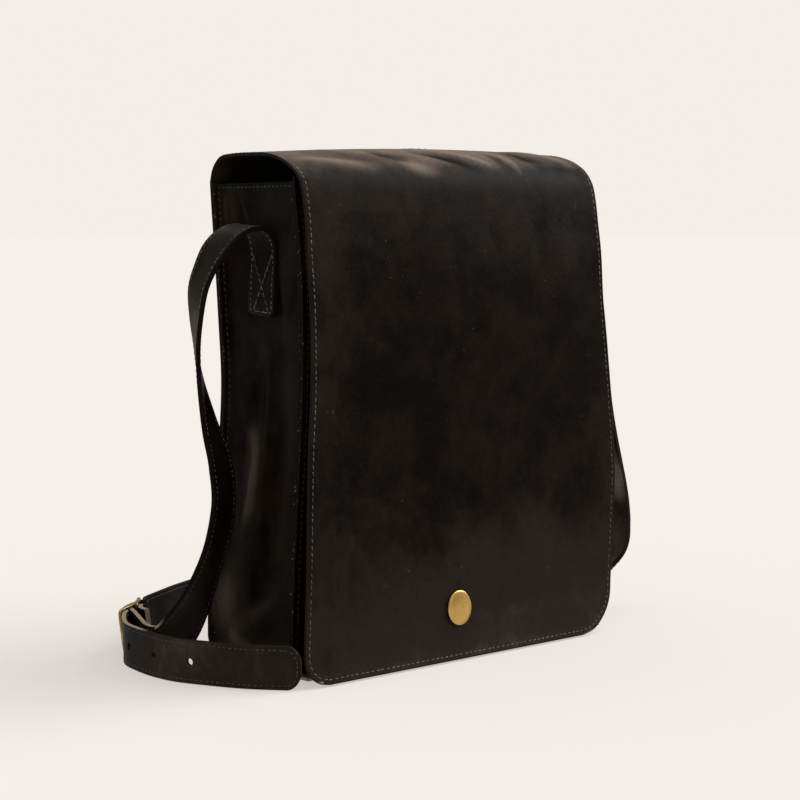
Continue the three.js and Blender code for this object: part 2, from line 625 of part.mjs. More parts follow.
function longStrapSections() {
  const onFloor = ({ x, y, rise, lean = 0 }) => (
    station(x, y, STRAP_ON_EDGE + rise, DOWN.clone().lerp(BUCKLE_DOWN, lean)));
  const through = LONG_IN_BUCKLE.map((row) => {
    const place = atBuckle(row.along, row.out);
    return station(place.x, place.y, place.z, BUCKLE_DOWN);
  });
  const roll = rollSections();
  const hanging = [...sewnArch(1), ...LONG_HANG.map(tableStation), roll[0]];
  const laid = [roll[roll.length - 1], ...LONG_LAID.map(onFloor), ...through, ...FREE_END.map(onFloor)];
  return [
    ...strapSections(hanging, STRAP_STEPS),
    ...roll.slice(1, -1),
    ...strapSections(laid, STRAP_STEPS),
  ];
}

// Length of the strap from each section to its free end
function lengthToTip(sections) {
  const lengths = new Array(sections.length).fill(0);
  for (let index = sections.length - 2; index >= 0; index -= 1) {
    lengths[index] = lengths[index + 1] + sections[index].at.distanceTo(sections[index + 1].at);
  }
  return lengths;
}

function buckleMatrix(along, out) {
  const matrix = new THREE.Matrix4().makeBasis(BUCKLE_ALONG, BUCKLE_UP, BUCKLE_OUT.clone().negate());
  return matrix.setPosition(atBuckle(along, out));
}

const PUNCH_SIDES = 12;
const PUNCH_LENGTH = 4 * STRAP_THICK;

// A punch for one hole, across the strap at a section
function punch(section) {
  const cylinder = new THREE.CylinderGeometry(HOLE_RADIUS, HOLE_RADIUS, PUNCH_LENGTH, PUNCH_SIDES);
  const normal = section.across.clone().cross(section.tangent);
  const turn = new THREE.Quaternion().setFromUnitVectors(ALONG_Y, normal.normalize());
  cylinder.applyQuaternion(turn);
  return cylinder.translate(...section.at.toArray());
}

function prongHolePunch() {
  const cylinder = new THREE.CylinderGeometry(HOLE_RADIUS, HOLE_RADIUS, PUNCH_LENGTH, PUNCH_SIDES);
  cylinder.rotateX(Math.PI / 2).scale(PRONG_HOLE_STRETCH, 1, 1);
  return cylinder.applyMatrix4(buckleMatrix(PRONG_HOLE_ALONG, LONG_STRAP_OUT));
}

function strapLongEnd() {
  const laid = longStrapSections();
  const laidLengths = lengthToTip(laid);
  const tail = laid.filter((_, index) => laidLengths[index] > TIP_LENGTH);
  const last = laid[laid.length - 1];
  const tip = spread(TIP_LENGTH, 0, TIP_STEPS).map((length) => (
    strapSection(last.at.clone().addScaledVector(last.tangent, -length), last.across, last.tangent)));
  const sections = [...tail, ...tip];
  const lengths = lengthToTip(sections);
  const widthAt = (index) => {
    const round = Math.max(0, 1 - lengths[index] / TIP_LENGTH);
    const share = Math.sqrt(1 - round * round * (1 - TIP_BLUNT * TIP_BLUNT));
    return STRAP_WIDTH * share;
  };
  const holes = spread(0, HOLE_COUNT - 1, HOLE_COUNT - 1).map((count) => {
    const wanted = FIRST_HOLE + HOLE_STEP * count;
    const index = lengths.findIndex((length) => length < wanted);
    const share = (lengths[index - 1] - wanted) / (lengths[index - 1] - lengths[index]);
    return punch({ ...sections[index], at: sections[index - 1].at.clone().lerp(sections[index].at, share) });
  });
  const geometry = cutAway(strapGeometry(sections, widthAt), [...holes, prongHolePunch()]);
  return piece('strap_long_end', geometry, leather('#2c2826'));
}

// Points of a rounded rectangle, with steps along its straight edges so that it can be bent
function roundedRectangle(width, height, radius, steps) {
  const corners = [[1, -1, -Math.PI / 2], [1, 1, 0], [-1, 1, Math.PI / 2], [-1, -1, Math.PI]];
  const arcs = corners.map(([sx, sy, start]) => spread(start, start + Math.PI / 2, steps.arc).map((angle) => (
    new THREE.Vector2(
      sx * (width / 2 - radius) + radius * Math.cos(angle),
      sy * (height / 2 - radius) + radius * Math.sin(angle),
    ))));
  return arcs.flatMap((arc, place) => {
    const next = arcs[(place + 1) % arcs.length][0];
    const end = arc[arc.length - 1];
    const between = spread(0, 1, steps.edge).slice(1, -1).map((t) => end.clone().lerp(next, t));
    return [...arc, ...between];
  });
}

// Steps along an edge and round a corner of the buckle's outline and of its windows
const OUTLINE_STEPS = { edge: 8, arc: 4 };
const WINDOW_STEPS = { edge: 5, arc: 1 };

function buckleFrame() {
  const outerWidth = 2 * BUCKLE_HALF + BUCKLE_BAR;
  const window = BUCKLE_HALF - BUCKLE_BAR;
  const shape = new THREE.Shape(roundedRectangle(outerWidth, BUCKLE_TALL, BUCKLE_CORNER, OUTLINE_STEPS));
  for (const hand of [-1, 1]) {
    const hole = roundedRectangle(window, BUCKLE_INSIDE, WINDOW_CORNER, WINDOW_STEPS);
    hole.forEach((point) => point.setX(point.x + hand * BUCKLE_HALF / 2));
    shape.holes.push(new THREE.Path(hole));
  }
  const geometry = new THREE.ExtrudeGeometry(shape, {
    depth: BUCKLE_BAR - 2 * BUCKLE_BEVEL,
    bevelEnabled: true,
    bevelThickness: BUCKLE_BEVEL,
    bevelSize: BUCKLE_BEVEL,
    bevelOffset: -BUCKLE_BEVEL,
    bevelSegments: 1,
  });
  geometry.translate(0, 0, BUCKLE_BEVEL - BUCKLE_BAR / 2);
  const position = geometry.getAttribute('position');
  for (let index = 0; index < position.count; index += 1) {
    const bend = BUCKLE_ARCH * (position.getX(index) / BUCKLE_HALF) ** 2;
    position.setZ(index, position.getZ(index) - bend);
  }
  geometry.applyMatrix4(buckleMatrix(0, 0));
  return piece('buckle_frame', geometry, brass('#a58648'));
}

// The prong: an open loop round the middle bar, up through its hole and onto the end bar
const PRONG_ARM = [
  { along: 5.4, out: 2.6 },
  { along: 6.9, out: 5 },
  { along: 8.4, out: 8 },
  { along: 11.5, out: 9.9 },
  { along: 17, out: 10.2 },
  { along: BUCKLE_HALF + 1.2, out: BUCKLE_ARCH + BUCKLE_BAR / 2 + PRONG_TIP_PLAY + PRONG_RADIUS },
];
// The loop from its open end to where the arm leaves it, in turns about the bar from straight inwards
const PRONG_LOOP_FROM = 0.639 * Math.PI;
const PRONG_LOOP_TO = -0.461 * Math.PI;
const PRONG_LOOP_STEPS = 9;

function buckleProng() {
  const loopRadius = BUCKLE_BAR / 2 + PRONG_LOOP_PLAY + PRONG_RADIUS;
  const loop = spread(PRONG_LOOP_FROM, PRONG_LOOP_TO, PRONG_LOOP_STEPS).map((angle) => ({
    along: -loopRadius * Math.cos(angle),
    out: -loopRadius * Math.sin(angle),
  }));
  const points = [...loop, ...PRONG_ARM].map((row) => atBuckle(row.along, row.out));
  const circle = new THREE.Shape().absarc(0, 0, PRONG_RADIUS, 0, 2 * Math.PI);
  const geometry = new THREE.ExtrudeGeometry(circle, {
    steps: 2 * (points.length - 1),
    curveSegments: 4,
    bevelEnabled: false,
    extrudePath: new THREE.CatmullRomCurve3(points, false, 'centripetal'),
  });
  return piece('buckle_prong', geometry, brass('#a58648'));
}

// The plate from the middle of its back, round its rim, to the middle of its face: share of its half width,
// and how far out
const PLATE_PROFILE = [
  { share: 0, out: 0 },
  { share: 0.945, out: 0 },
  { share: 1, out: 0.5 },
  { share: 1, out: 1.1 },
  { share: 0.927, out: 1.8 },
  { share: 0.55, out: 2.25 },
  { share: 0, out: PLATE_THICK },
];

// A plain oval plate with a low domed face, seated on the flap
function closurePlate() {
  const profile = PLATE_PROFILE.map((row) => new THREE.Vector2(row.share * PLATE_WIDTH / 2, row.out));
  const geometry = new THREE.LatheGeometry(profile, ROUND_SIDES);
  geometry.rotateX(Math.PI).scale(1, 1, PLATE_HEIGHT / PLATE_WIDTH);
  geometry.rotateX(PLATE_LEAN);
  geometry.translate(PLATE_X, flapFaceAt(PLATE_X, PLATE_Z) - LEATHER / 2 - PLATE_GAP, PLATE_Z);
  return piece('closure_plate', geometry, brass('#c39a4e'));
}

const FACE_STEPS = 200;

// The middle of the flap's wall at a place on its front
function flapFaceAt(x, height) {
  const along = spread(FLAP_TOP_STEPS, FLAP.length - 1, FACE_STEPS).reduce((best, value) => (
    Math.abs(flapColumn.z(value) - height) < Math.abs(flapColumn.z(best) - height) ? value : best));
  return flapPoint(along, x / flapColumn.right(along)).y;
}

// The hidden fastener that holds the flap's foot to the front panel
function closureStud() {
  const front = flapFaceAt(PLATE_X, PLATE_Z) + LEATHER / 2 + STUD_FRONT_GAP;
  const across = PLATE_X / bodyRight(PLATE_Z);
  const back = bodyFront(PLATE_Z) - wallSwell(across, PLATE_Z, FRONT_SWELL) - LEATHER / 2 - STUD_BACK_GAP;
  const geometry = new THREE.CylinderGeometry(STUD_RADIUS, STUD_RADIUS, back - front, STUD_SIDES);
  geometry.translate(PLATE_X, (front + back) / 2, PLATE_Z);
  return piece('closure_stud', geometry, brass('#8d7440'));
}

const bag = new THREE.Group();
bag.add(
  backAndFlap(),
  frontPanel(),
  gusset(),
  strapBuckleEnd(),
  strapLongEnd(),
  buckleFrame(),
  buckleProng(),
  closurePlate(),
  closureStud(),
);

export default bag;
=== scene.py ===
"""Dresses a tall crossbody bag of dark waxed leather over its solids.

The tables hold millimetres in the solids' own frame: X to the right as seen from the front, the front facing
-Y and Z up from the floor. Every mesh is in metres in that frame, so each piece lies where its solid does.
"""

from __future__ import annotations

import logging
import math
from dataclasses import dataclass, field
from enum import Enum
from typing import Any, NamedTuple, Sequence

import bpy
import numpy as np
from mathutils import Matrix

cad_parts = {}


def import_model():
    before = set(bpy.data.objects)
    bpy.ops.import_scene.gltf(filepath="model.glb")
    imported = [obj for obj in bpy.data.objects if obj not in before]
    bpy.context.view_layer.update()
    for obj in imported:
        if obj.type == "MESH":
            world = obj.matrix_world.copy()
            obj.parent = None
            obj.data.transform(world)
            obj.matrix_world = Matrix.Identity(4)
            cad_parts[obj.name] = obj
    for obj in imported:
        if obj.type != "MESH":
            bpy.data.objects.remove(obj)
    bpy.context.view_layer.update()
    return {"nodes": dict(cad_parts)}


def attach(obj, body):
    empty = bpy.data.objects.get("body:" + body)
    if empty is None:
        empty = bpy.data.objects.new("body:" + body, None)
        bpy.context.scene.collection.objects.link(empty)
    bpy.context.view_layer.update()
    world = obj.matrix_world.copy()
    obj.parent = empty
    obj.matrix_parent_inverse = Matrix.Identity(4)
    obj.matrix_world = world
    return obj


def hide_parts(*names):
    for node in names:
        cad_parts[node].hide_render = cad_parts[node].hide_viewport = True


Array = np.ndarray
Triple = tuple[float, float, float]
Colour = Triple
LOG = logging.getLogger("crossbody_bag")
MM = 0.001
# How far the hide is drawn over a ridge, kept on each point. The leather paints ridges paler, partly as
# pull-up paling and partly as a painted highlight, and furrows darker, as painted shade.
DRAWN_AND_SHEEN = "drawn"


class Side(Enum):
    """A side wall of the bag, by the sign of its X."""

    LEFT = -1
    RIGHT = 1


class Face(Enum):
    """Which surface of a wall: the one its grid's normals point out of, or the other one."""

    PLUS = 1
    MINUS = -1


# Tables of the bag's form


class BodyRow(NamedTuple):
    """The body at a height: the edges of its seam margins and the planes of its front and back walls."""

    height: float
    left: float
    right: float
    front: float
    back: float


BODY = (
    BodyRow(0, -145, 145, -46, 53.4),
    BodyRow(40, -145, 145.5, -46.5, 52),
    BodyRow(80, -143.4, 147.4, -46.8, 48.4),
    BodyRow(120, -141.7, 149.4, -47.8, 45.6),
    BodyRow(160, -139.6, 147.6, -48.8, 44),
    BodyRow(200, -138, 143, -49.4, 43.6),
    BodyRow(245, -137.8, 137.8, -50, 47),
    BodyRow(290, -137.8, 137.8, -47.4, 51),
    BodyRow(325, -137.3, 137.3, -42, 55.3),
    BodyRow(342, -137.6, 137.6, -41, 56.2),
)


class FlapRow(NamedTuple):
    """The flap on its way over the top: its left edge's profile, both edges, and its lift, tilt and swell."""

    y: float
    z: float
    left: float
    right: float
    lift: float
    tilt: float
    swell: float


FLAP_FOOT = 1.3
FLAP = (
    FlapRow(56.2, 338, -137.4, 137.4, 0, 0, -3),
    FlapRow(53.6, 346.3, -137.2, 137.2, 1.5, 1.5, -2),
    FlapRow(48.6, 352.3, -137, 137, 2.5, 3, -1),
    FlapRow(41.8, 355.4, -137, 137, 3.2, 4, 0),
    FlapRow(28, 356.3, -137, 137, 3.5, 4.3, 0),
    FlapRow(8, 356.2, -137, 137, 3.7, 4.5, 0),
    FlapRow(-10, 355.4, -137, 137, 3.7, 4.5, 1),
    FlapRow(-24.4, 352.2, -137, 137, 3.5, 4.5, 2),
    FlapRow(-34.4, 348, -137, 137.2, 3, 4.5, 3),
    FlapRow(-42.5, 342.5, -137, 137.6, 2.5, 4, 3.5),
    FlapRow(-48.6, 335, -137.2, 137.8, 1, 2.5, 4),
    FlapRow(-52, 323.5, -137.6, 137.8, 0, 1, 4),
    FlapRow(-54.6, 308, -137.8, 137.8, 0, 0, 4),
    FlapRow(-57.2, 286, -138.5, 138.6, 0, 0, 4),
    FlapRow(-59, 250, -137.5, 139.6, 0, 0, 4),
    FlapRow(-59.6, 200, -137.7, 145.6, 0, 0, 3.5),
    FlapRow(-59.8, 160, -140, 150, 0, 0, 3),
    FlapRow(-61, 120, -142, 151.8, 0, 0, 2),
    FlapRow(-62.4, 80, -143.9, 149, 0, 0, 1),
    FlapRow(-63.6, 40, -146.4, 145.6, 0, 0, 0.5),
    FlapRow(-65.4, 24, -148.4, 143.8, 0, 0, 0.3),
    FlapRow(-67.8, 10, -150, 142, 0, 0, 0.1),
    FlapRow(-70.4, FLAP_FOOT, -150.8, 141.2, 0, 0, 0),
)


class Dent(NamedTuple):
    """A soft dent: its place on the width (-1 to 1), its height, its depth, and its reach both ways."""

    across: float
    height: float
    depth: float
    reach_across: float
    reach_up: float


FLAP_DENTS = (
    Dent(-0.55, 262, 1.6, 0.3, 60),
    Dent(0.15, 196, 1.8, 0.28, 46),
    Dent(-0.3, 112, 1.4, 0.34, 30),
    Dent(0.72, 250, -1.6, 0.12, 50),
    Dent(0.6, 96, 1.6, 0.2, 40),
)
SIDE_DENTS = (
    Dent(-0.62, 316, 2.2, 0.12, 18),
    Dent(-0.3, 186, 4.6, 0.22, 34),
    Dent(0.42, 150, 4.4, 0.26, 60),
    Dent(0.05, 140, -2.2, 0.12, 40),
    Dent(0.1, 62, 3.6, 0.34, 26),
)


class Crease(NamedTuple):
    """A narrow fold line between two places, its height out of the surface, and its half width."""

    start: tuple[float, float]
    end: tuple[float, float]
    rise: float
    width: float


CREASE_FADE = 0.7
# On the fold over the top the places are X and Y, on a side wall they are Y and Z
TOP_CREASES = (
    Crease((-18, -8), (42, -46), 2.1, 2.6),
    Crease((-24, -20), (30, -52), -1.5, 5.0),
    Crease((54, -18), (65, -50), 1.3, 3.4),
    Crease((48, -26), (56, -50), -0.7, 4.0),
    Crease((86, 6), (128, -42), 1.1, 7.0),
    Crease((74, -14), (92, -46), -0.8, 6.0),
    Crease((-134, -28), (-62, -48), 1.1, 4.6),
    Crease((-48, -42), (-8, -54), 1.4, 4.0),
    Crease((-98, -4), (-56, -30), 0.7, 6.0),
    Crease((-62, -22), (-34, -40), -1.0, 6.0),
)
SIDE_CREASES = (
    Crease((46, 336), (45, 300), 1.7, 1.7),
    Crease((42, 334), (29, 298), 1.6, 1.9),
    Crease((36, 331), (19, 302), -1.2, 2.6),
    Crease((30, 330), (12, 306), 1.0, 2.2),
    Crease((17, 172), (5, 144), 2.4, 5.0),
    Crease((5, 156), (13, 104), 2.8, 5.0),
    Crease((10, 120), (22, 88), 2.2, 5.0),
    Crease((-6, 168), (-4, 112), -1.8, 6.0),
    Crease((27, 176), (25, 126), -1.8, 5.0),
    Crease((33, 20), (-28, 58), 2.4, 6.5),
    Crease((36, 21), (0, 13), 2.6, 4.5),
    Crease((-4, 62), (-34, 80), -2.0, 6.0),
    Crease((-18, 300), (-30, 226), 1.3, 7.0),
    Crease((-6, 296), (-20, 240), -1.3, 5.0),
)


class FootRow(NamedTuple):
    """A lower row of a wall: share of its foot margin, height, and half its width round the base's corner."""

    share: float
    height: float
    half: float


FOOT_ROWS = (
    FootRow(1, 3.75, 140),
    FootRow(0.3, 3.75, 140.6),
    FootRow(0.08, 4.3, 141.2),
    FootRow(0, 5.75, 142),
    FootRow(0, 10, 143.8),
    FootRow(0, 16, 145),
)


class StrapRow(NamedTuple):
    """A place on a strap: the middle of its width, and the way from its first edge to its second one."""

    x: float
    y: float
    z: float
    ax: float
    ay: float
    az: float


class ArchRow(NamedTuple):
    """A place on a strap's sewn end and arch: out from the bag's middle, along Y, and its height."""

    out: float
    y: float
    height: float


SEWN_ARCH = (
    ArchRow(134.3, -0.6, 246),
    ArchRow(134.3, -2, 268),
    ArchRow(134.6, -3.6, 288),
    ArchRow(137.5, -4.6, 299.2),
    ArchRow(144, -4.4, 305.6),
    ArchRow(153, -3.2, 306),
    ArchRow(162.2, -1.6, 301.8),
    ArchRow(171, 0.2, 293),
)
SHORT_STRAP = (
    StrapRow(-178.8, 1.5, 280, 0.1, 1, 0),
    StrapRow(-184.6, 2, 266, 0.2, 0.98, 0),
    StrapRow(-186.6, 2, 248, 0.35, 0.94, 0),
    StrapRow(-186.4, 2, 228, 0.5, 0.87, 0),
    StrapRow(-184.6, 2, 207, 0.58, 0.81, 0),
    StrapRow(-175.6, 3.5, 172, 0.77, 0.64, 0),
    StrapRow(-166, 6, 147, 0.87, 0.5, 0),
    StrapRow(-161, 9, 120, 0.88, 0.46, -0.12),
    StrapRow(-162, 14, 94, 0.92, 0.4, 0),
    StrapRow(-165, 20.5, 74, 0.9, 0.4, -0.15),
    StrapRow(-170.5, 29, 50, 0.76, 0.32, -0.55),
    StrapRow(-178, 38, 29, 0.4, 0.15, -0.9),
    StrapRow(-185.5, 43.5, 17.5, 0.05, 0, -1),
    StrapRow(-192.5, 48.5, 15.5, 0, 0, -1),
    StrapRow(-193.5, 57, 15.5, 0, 0, -1),
    StrapRow(-188, 74, 16.4, 0, 0, -1),
    StrapRow(-181.3, 91, 17.8, 0.05, -0.06, -1),
)
LONG_HANG = (
    StrapRow(178.8, 1.5, 280, 0, 1, 0),
    StrapRow(184.2, 2, 264, 0, 1, 0),
    StrapRow(187.4, 1.5, 244, 0, 1, 0),
    StrapRow(190, 0.5, 219, 0, 1, 0),
    StrapRow(191.6, -1, 194, 0, 1, 0),
    StrapRow(192.8, -3, 170, 0, 1, 0),
    StrapRow(196, -5, 147, 0, 1, 0),
    StrapRow(200.2, -7, 125, 0, 1, 0),
    StrapRow(204.6, -8.6, 104, 0, 1, 0),
    StrapRow(207.2, -9.4, 89, 0, 1, 0),
)


class FloorRow(NamedTuple):
    """A place of strap that stands on its edge, how far that is off the floor, and its share of the lean."""

    x: float
    y: float
    rise: float
    lean: float = 0.0


LONG_LAID = (
    FloorRow(177, 66, 0),
    FloorRow(175.6, 86, 0),
    FloorRow(169, 110, 0),
    FloorRow(154, 137, 0),
    FloorRow(125, 164, 0),
    FloorRow(84, 185, 0),
    FloorRow(35, 195, 0),
    FloorRow(-15, 194, 0),
    FloorRow(-58, 185.5, 0),
    FloorRow(-92, 171, 0.1),
    FloorRow(-122, 151, 1, 0.4),
)
FREE_END = (
    FloorRow(-200.9, 73.2, 0.6),
    FloorRow(-204.6, 48, 0.1, -0.6),
    FloorRow(-204.4, 25, 0, -1),
    FloorRow(-200.6, 6, 0, -1),
    FloorRow(-193, -10.5, 0, -0.7),
    FloorRow(-177, -38.5, 0, -0.4),
    FloorRow(-158, -60, 0),
    FloorRow(-151.4, -66.4, 0),
)
# Along the strap and out from the buckle's middle bar
FOLD_IN = ((-10, 0.8), (-5, 3))
FOLD_BACK = ((-8, -5.8), (-15, -10), (-21, -14.6))
PRONG_ARM = ((5.4, 2.6), (6.9, 5), (8.4, 8), (11.5, 9.9), (17, 10.2))
# From the middle of the plate's back round its rim to the middle of its face: share of the width, and height
PLATE_PROFILE = (
    (0.02, 0.0),
    (0.5, 0.0),
    (0.94, 0.0),
    (0.985, 0.25),
    (1.0, 0.7),
    (0.995, 1.15),
    (0.97, 1.5),
    (0.93, 1.66),
    (0.885, 1.62),
    (0.86, 1.5),
    (0.83, 1.5),
    (0.7, 1.82),
    (0.5, 2.14),
    (0.25, 2.34),
    (0.02, 2.4),
)


# Maths of curves and surfaces


def unit(vectors: Array) -> Array:
    """Vectors of length one along the last axis."""
    return vectors / np.maximum(np.linalg.norm(vectors, axis=-1, keepdims=True), 1e-12)


def smooth_step(value: Array, low: float, high: float) -> Array:
    """Rises from 0 at low to 1 at high along 3t^2 - 2t^3."""
    t = np.clip((np.asarray(value, float) - low) / (high - low), 0, 1)
    return t * t * (3 - 2 * t)


class SmoothTable:
    """Smooth curves through the named columns of a short table.

    Between two rows a column follows the cubic that meets both values, and its slope at a row is the rise
    between the rows on either side over their distance.
    """

    def __init__(self, rows: Sequence[NamedTuple], key: str = "") -> None:
        """Keeps the rows as columns.

        Args:
            rows: the table's rows, all of one kind.
            key: the column that the others are looked up by, or nothing to count rows.
        """
        names = rows[0]._fields
        self.columns = {name: np.array([getattr(row, name) for row in rows], float) for name in names}
        self.keys = self.columns[key] if key else np.arange(len(rows), dtype=float)

    def at(self, column: str, value: Array | float) -> Array:
        """The column's smooth value.

        Args:
            column: its name.
            value: where to read it, in the key column's terms.

        Returns:
            An array of the shape of value.
        """
        values, keys = self.columns[column], self.keys
        after = np.minimum(np.arange(len(keys)) + 1, len(keys) - 1)
        before = np.maximum(np.arange(len(keys)) - 1, 0)
        slopes = (values[after] - values[before]) / (keys[after] - keys[before])
        low = np.clip(np.searchsorted(keys, value, side="left") - 1, 0, len(keys) - 2)
        span = keys[low + 1] - keys[low]
        t = np.clip((np.asarray(value, float) - keys[low]) / span, 0, 1)
        fall, rise = (1 - t) ** 2, t**2
        return (
            (1 + 2 * t) * fall * values[low]
            + t * fall * span * slopes[low]
            + rise * (3 - 2 * t) * values[low + 1]
            - rise * (1 - t) * span * slopes[low + 1]
        )


def dent_depth(dents: Sequence[Dent], across: Array, height: Array) -> Array:
    """Sum over dents of depth times exp(-(da^2 + dh^2)), with da and dh counted in each dent's reach.

    Args:
        dents: the dents.
        across: place of each point on the width, -1 to 1.
        height: its height.

    Returns:
        Millimetres into the surface.
    """
    table = np.array(dents, float).T
    shape = (-1,) + (1,) * np.ndim(across + height)
    place, level, depth, wide, tall = (column.reshape(shape) for column in table)
    aside, above = (across - place) / wide, (height - level) / tall
    return np.sum(depth * np.exp(-(aside**2) - above**2), axis=0)


def crease_rise(creases: Sequence[Crease], u: Array, v: Array) -> Array:
    """Sum over fold lines of rise times exp(-(d / width)^2), d being the distance to the line.

    The rise fades to nothing towards both ends of the line, as a power of the sine of the length's share.

    Args:
        creases: the fold lines, their places in the terms of u and v.
        u: first coordinate of each point, millimetres.
        v: second coordinate.

    Returns:
        Millimetres out of the surface.
    """
    total = np.zeros(np.broadcast(u, v).shape)
    for crease in creases:
        (u0, v0), (u1, v1) = crease.start, crease.end
        length = math.hypot(u1 - u0, v1 - v0)
        share = ((u - u0) * (u1 - u0) + (v - v0) * (v1 - v0)) / length**2
        inside = np.clip(share, 0, 1)
        gap = np.hypot(u - u0 - inside * (u1 - u0), v - v0 - inside * (v1 - v0))
        fade = np.sin(np.pi * inside) ** CREASE_FADE
        total = total + crease.rise * fade * np.exp(-((gap / crease.width) ** 2))
    return total


def spline(points: Array, steps: int, power: float) -> tuple[Array, Array]:
    """A cubic through points, span by span, with knots spaced by distance to a power.

    Args:
        points: the points, one a row.
        steps: steps in each span.
        power: 0.5 spaces the knots by the root of the distance, 0 spaces them evenly.

    Returns:
        The curve's points and its derivatives there.
    """
    ends = np.vstack([2 * points[0] - points[1], points, 2 * points[-1] - points[-2]])
    p0, p1, p2, p3 = ends[:-3], ends[1:-2], ends[2:-1], ends[3:]
    d0, d1, d2 = (np.maximum(np.linalg.norm(b - a, axis=1, keepdims=True) ** power, 1e-4)
                  for a, b in ((p0, p1), (p1, p2), (p2, p3)))
    m1 = d1 * ((p1 - p0) / d0 - (p2 - p0) / (d0 + d1) + (p2 - p1) / d1)
    m2 = d1 * ((p2 - p1) / d1 - (p3 - p1) / (d1 + d2) + (p3 - p2) / d2)
    t = np.linspace(0, 1, steps, endpoint=False)[None, :, None]
    square = -3 * p1 + 3 * p2 - 2 * m1 - m2
    cube = 2 * p1 - 2 * p2 + m1 + m2
    a, b, c, d = (part[:, None, :] for part in (p1, m1, square, cube))
    places = (a + b * t + c * t**2 + d * t**3).reshape(-1, 3)
    slopes = (b + 2 * c * t + 3 * d * t**2).reshape(-1, 3)
    return np.vstack([places, points[-1]]), np.vstack([slopes, m2[-1]])


def lengths_along(points: Array) -> Array:
    """Length of the path from its start to each of its points."""
    return np.concatenate([[0.0], np.cumsum(np.linalg.norm(np.diff(points, axis=0), axis=1))])


def resampled(lengths: Array, values: Array, wanted: Array) -> Array:
    """Values at wanted lengths, straight between the given ones, column by column."""
    return np.stack([np.interp(wanted, lengths, column) for column in values.T], axis=1)


def surface_normals(grid: Array) -> Array:
    """Unit normals of a grid of points: the way along a row crossed with the way along a column."""
    down, side = np.gradient(grid, axis=(0, 1))
    return unit(np.cross(side, down))


def rim_order(rows: int, columns: int) -> Array:
    """Flat places of a grid's outline: first row, last column, last row backwards, first column backwards."""
    place = np.arange(rows * columns).reshape(rows, columns)
    return np.concatenate([place[0], place[1:, -1], place[-1, -2::-1], place[-2:0:-1, 0]])


def hem_order(grid: Array) -> Array:
    """Flat places of a grid's outline but for its first row, from that row's end round to its start."""
    rim = rim_order(*grid.shape[:2])
    return np.concatenate([rim[grid.shape[1] - 1:], rim[:1]])


def edged(count: int, inset: float) -> Array:
    """Even places from -1 to 1, with one more close inside each end to keep shading flat up to the edge."""
    inner = np.linspace(-1 + inset, 1 - inset, count)
    return np.concatenate([[-1.0], inner, [1.0]])


# Mesh making


class MeshParts:
    """Gathers vertices and faces of several shells into one mesh."""

    def __init__(self) -> None:
        """Starts empty."""
        self.points: list[Array] = []
        self.quads: list[Array] = []
        self.loose: list[list[int]] = []
        self.finish: list[Array] = []
        self.loose_finish: list[int] = []
        self.drawn: list[Array] = []
        self.count = 0

    def add(self, points: Array, quads: Array, finish: int | Array = 0, drawn: float | Array = 0.0) -> int:
        """Adds a shell of four-sided faces.

        Args:
            points: its points, millimetres.
            quads: four places in points for each face, counter-clockwise from outside.
            finish: material slot of all faces, or of each.
            drawn: how far the hide is drawn over a ridge at all points, or at each.

        Returns:
            The place of its first point in the whole mesh.
        """
        start = self.count
        self.points.append(points)
        self.drawn.append(np.broadcast_to(np.asarray(drawn, float), (len(points),)))
        self.quads.append(quads + start)
        self.finish.append(np.broadcast_to(np.asarray(finish), (len(quads),)))
        self.count += len(points)
        return start

    def cap(self, places: Array, finish: int = 0) -> None:
        """Adds one flat face over places, counter-clockwise from outside."""
        self.loose.append([int(place) for place in places])
        self.loose_finish.append(finish)

    def build(self, name: str, materials: Sequence[bpy.types.Material]) -> bpy.types.Object:
        """Makes the object.

        Args:
            name: its name.
            materials: its materials, in the order of the finish numbers.

        Returns:
            A smooth-shaded object at the origin.
        """
        points = np.vstack(self.points) * MM
        quads = np.vstack(self.quads)
        faces = quads.tolist() + self.loose
        mesh = bpy.data.meshes.new(name)
        mesh.from_pydata(points, [], faces)
        finish = np.concatenate([*self.finish, np.array(self.loose_finish, int)]).astype(np.int32)
        for material in materials:
            mesh.materials.append(material)
        mesh.polygons.foreach_set("material_index", finish)
        mesh.polygons.foreach_set("use_smooth", np.ones(len(faces), bool))
        mesh.attributes.new(DRAWN_AND_SHEEN, "FLOAT", "POINT").data.foreach_set("value", np.concatenate(self.drawn))
        mesh.update()
        piece = bpy.data.objects.new(name, mesh)
        bpy.context.scene.collection.objects.link(piece)
        return piece


def grid_quads(rows: int, columns: int, closed: bool = False, looped: bool = False) -> Array:
    """Faces of a grid, each turning from columns to rows.

    Args:
        rows: count of rows.
        columns: count of columns.
        closed: whether the last column joins the first.
        looped: whether the last row joins the first.

    Returns:
        Four places for each face.
    """
    place = np.arange(rows * columns).reshape(rows, columns)
    place = np.pad(place, ((0, int(looped)), (0, int(closed))), mode="wrap")
    return np.stack([place[:-1, :-1], place[:-1, 1:], place[1:, 1:], place[1:, :-1]], axis=2).reshape(-1, 4)


@dataclass(frozen=True)
class CutEdge:
    """The cut edge of a leather wall: steps through its thickness, and how far each is drawn in."""

    through: tuple[float, ...] = (0.5, 0.42, 0.2, -0.2, -0.42, -0.5)
    inset: tuple[float, ...] = (0.42, 0.16, 0.0, 0.0, 0.16, 0.42)


SINGLE_EDGE = CutEdge()
DOUBLE_EDGE = CutEdge(
    through=(0.5, 0.42, 0.16, 0.04, -0.04, -0.16, -0.42, -0.5),
    inset=(0.45, 0.16, 0.0, 0.28, 0.28, 0.0, 0.16, 0.45),
)
TUBE_SIDES = 14


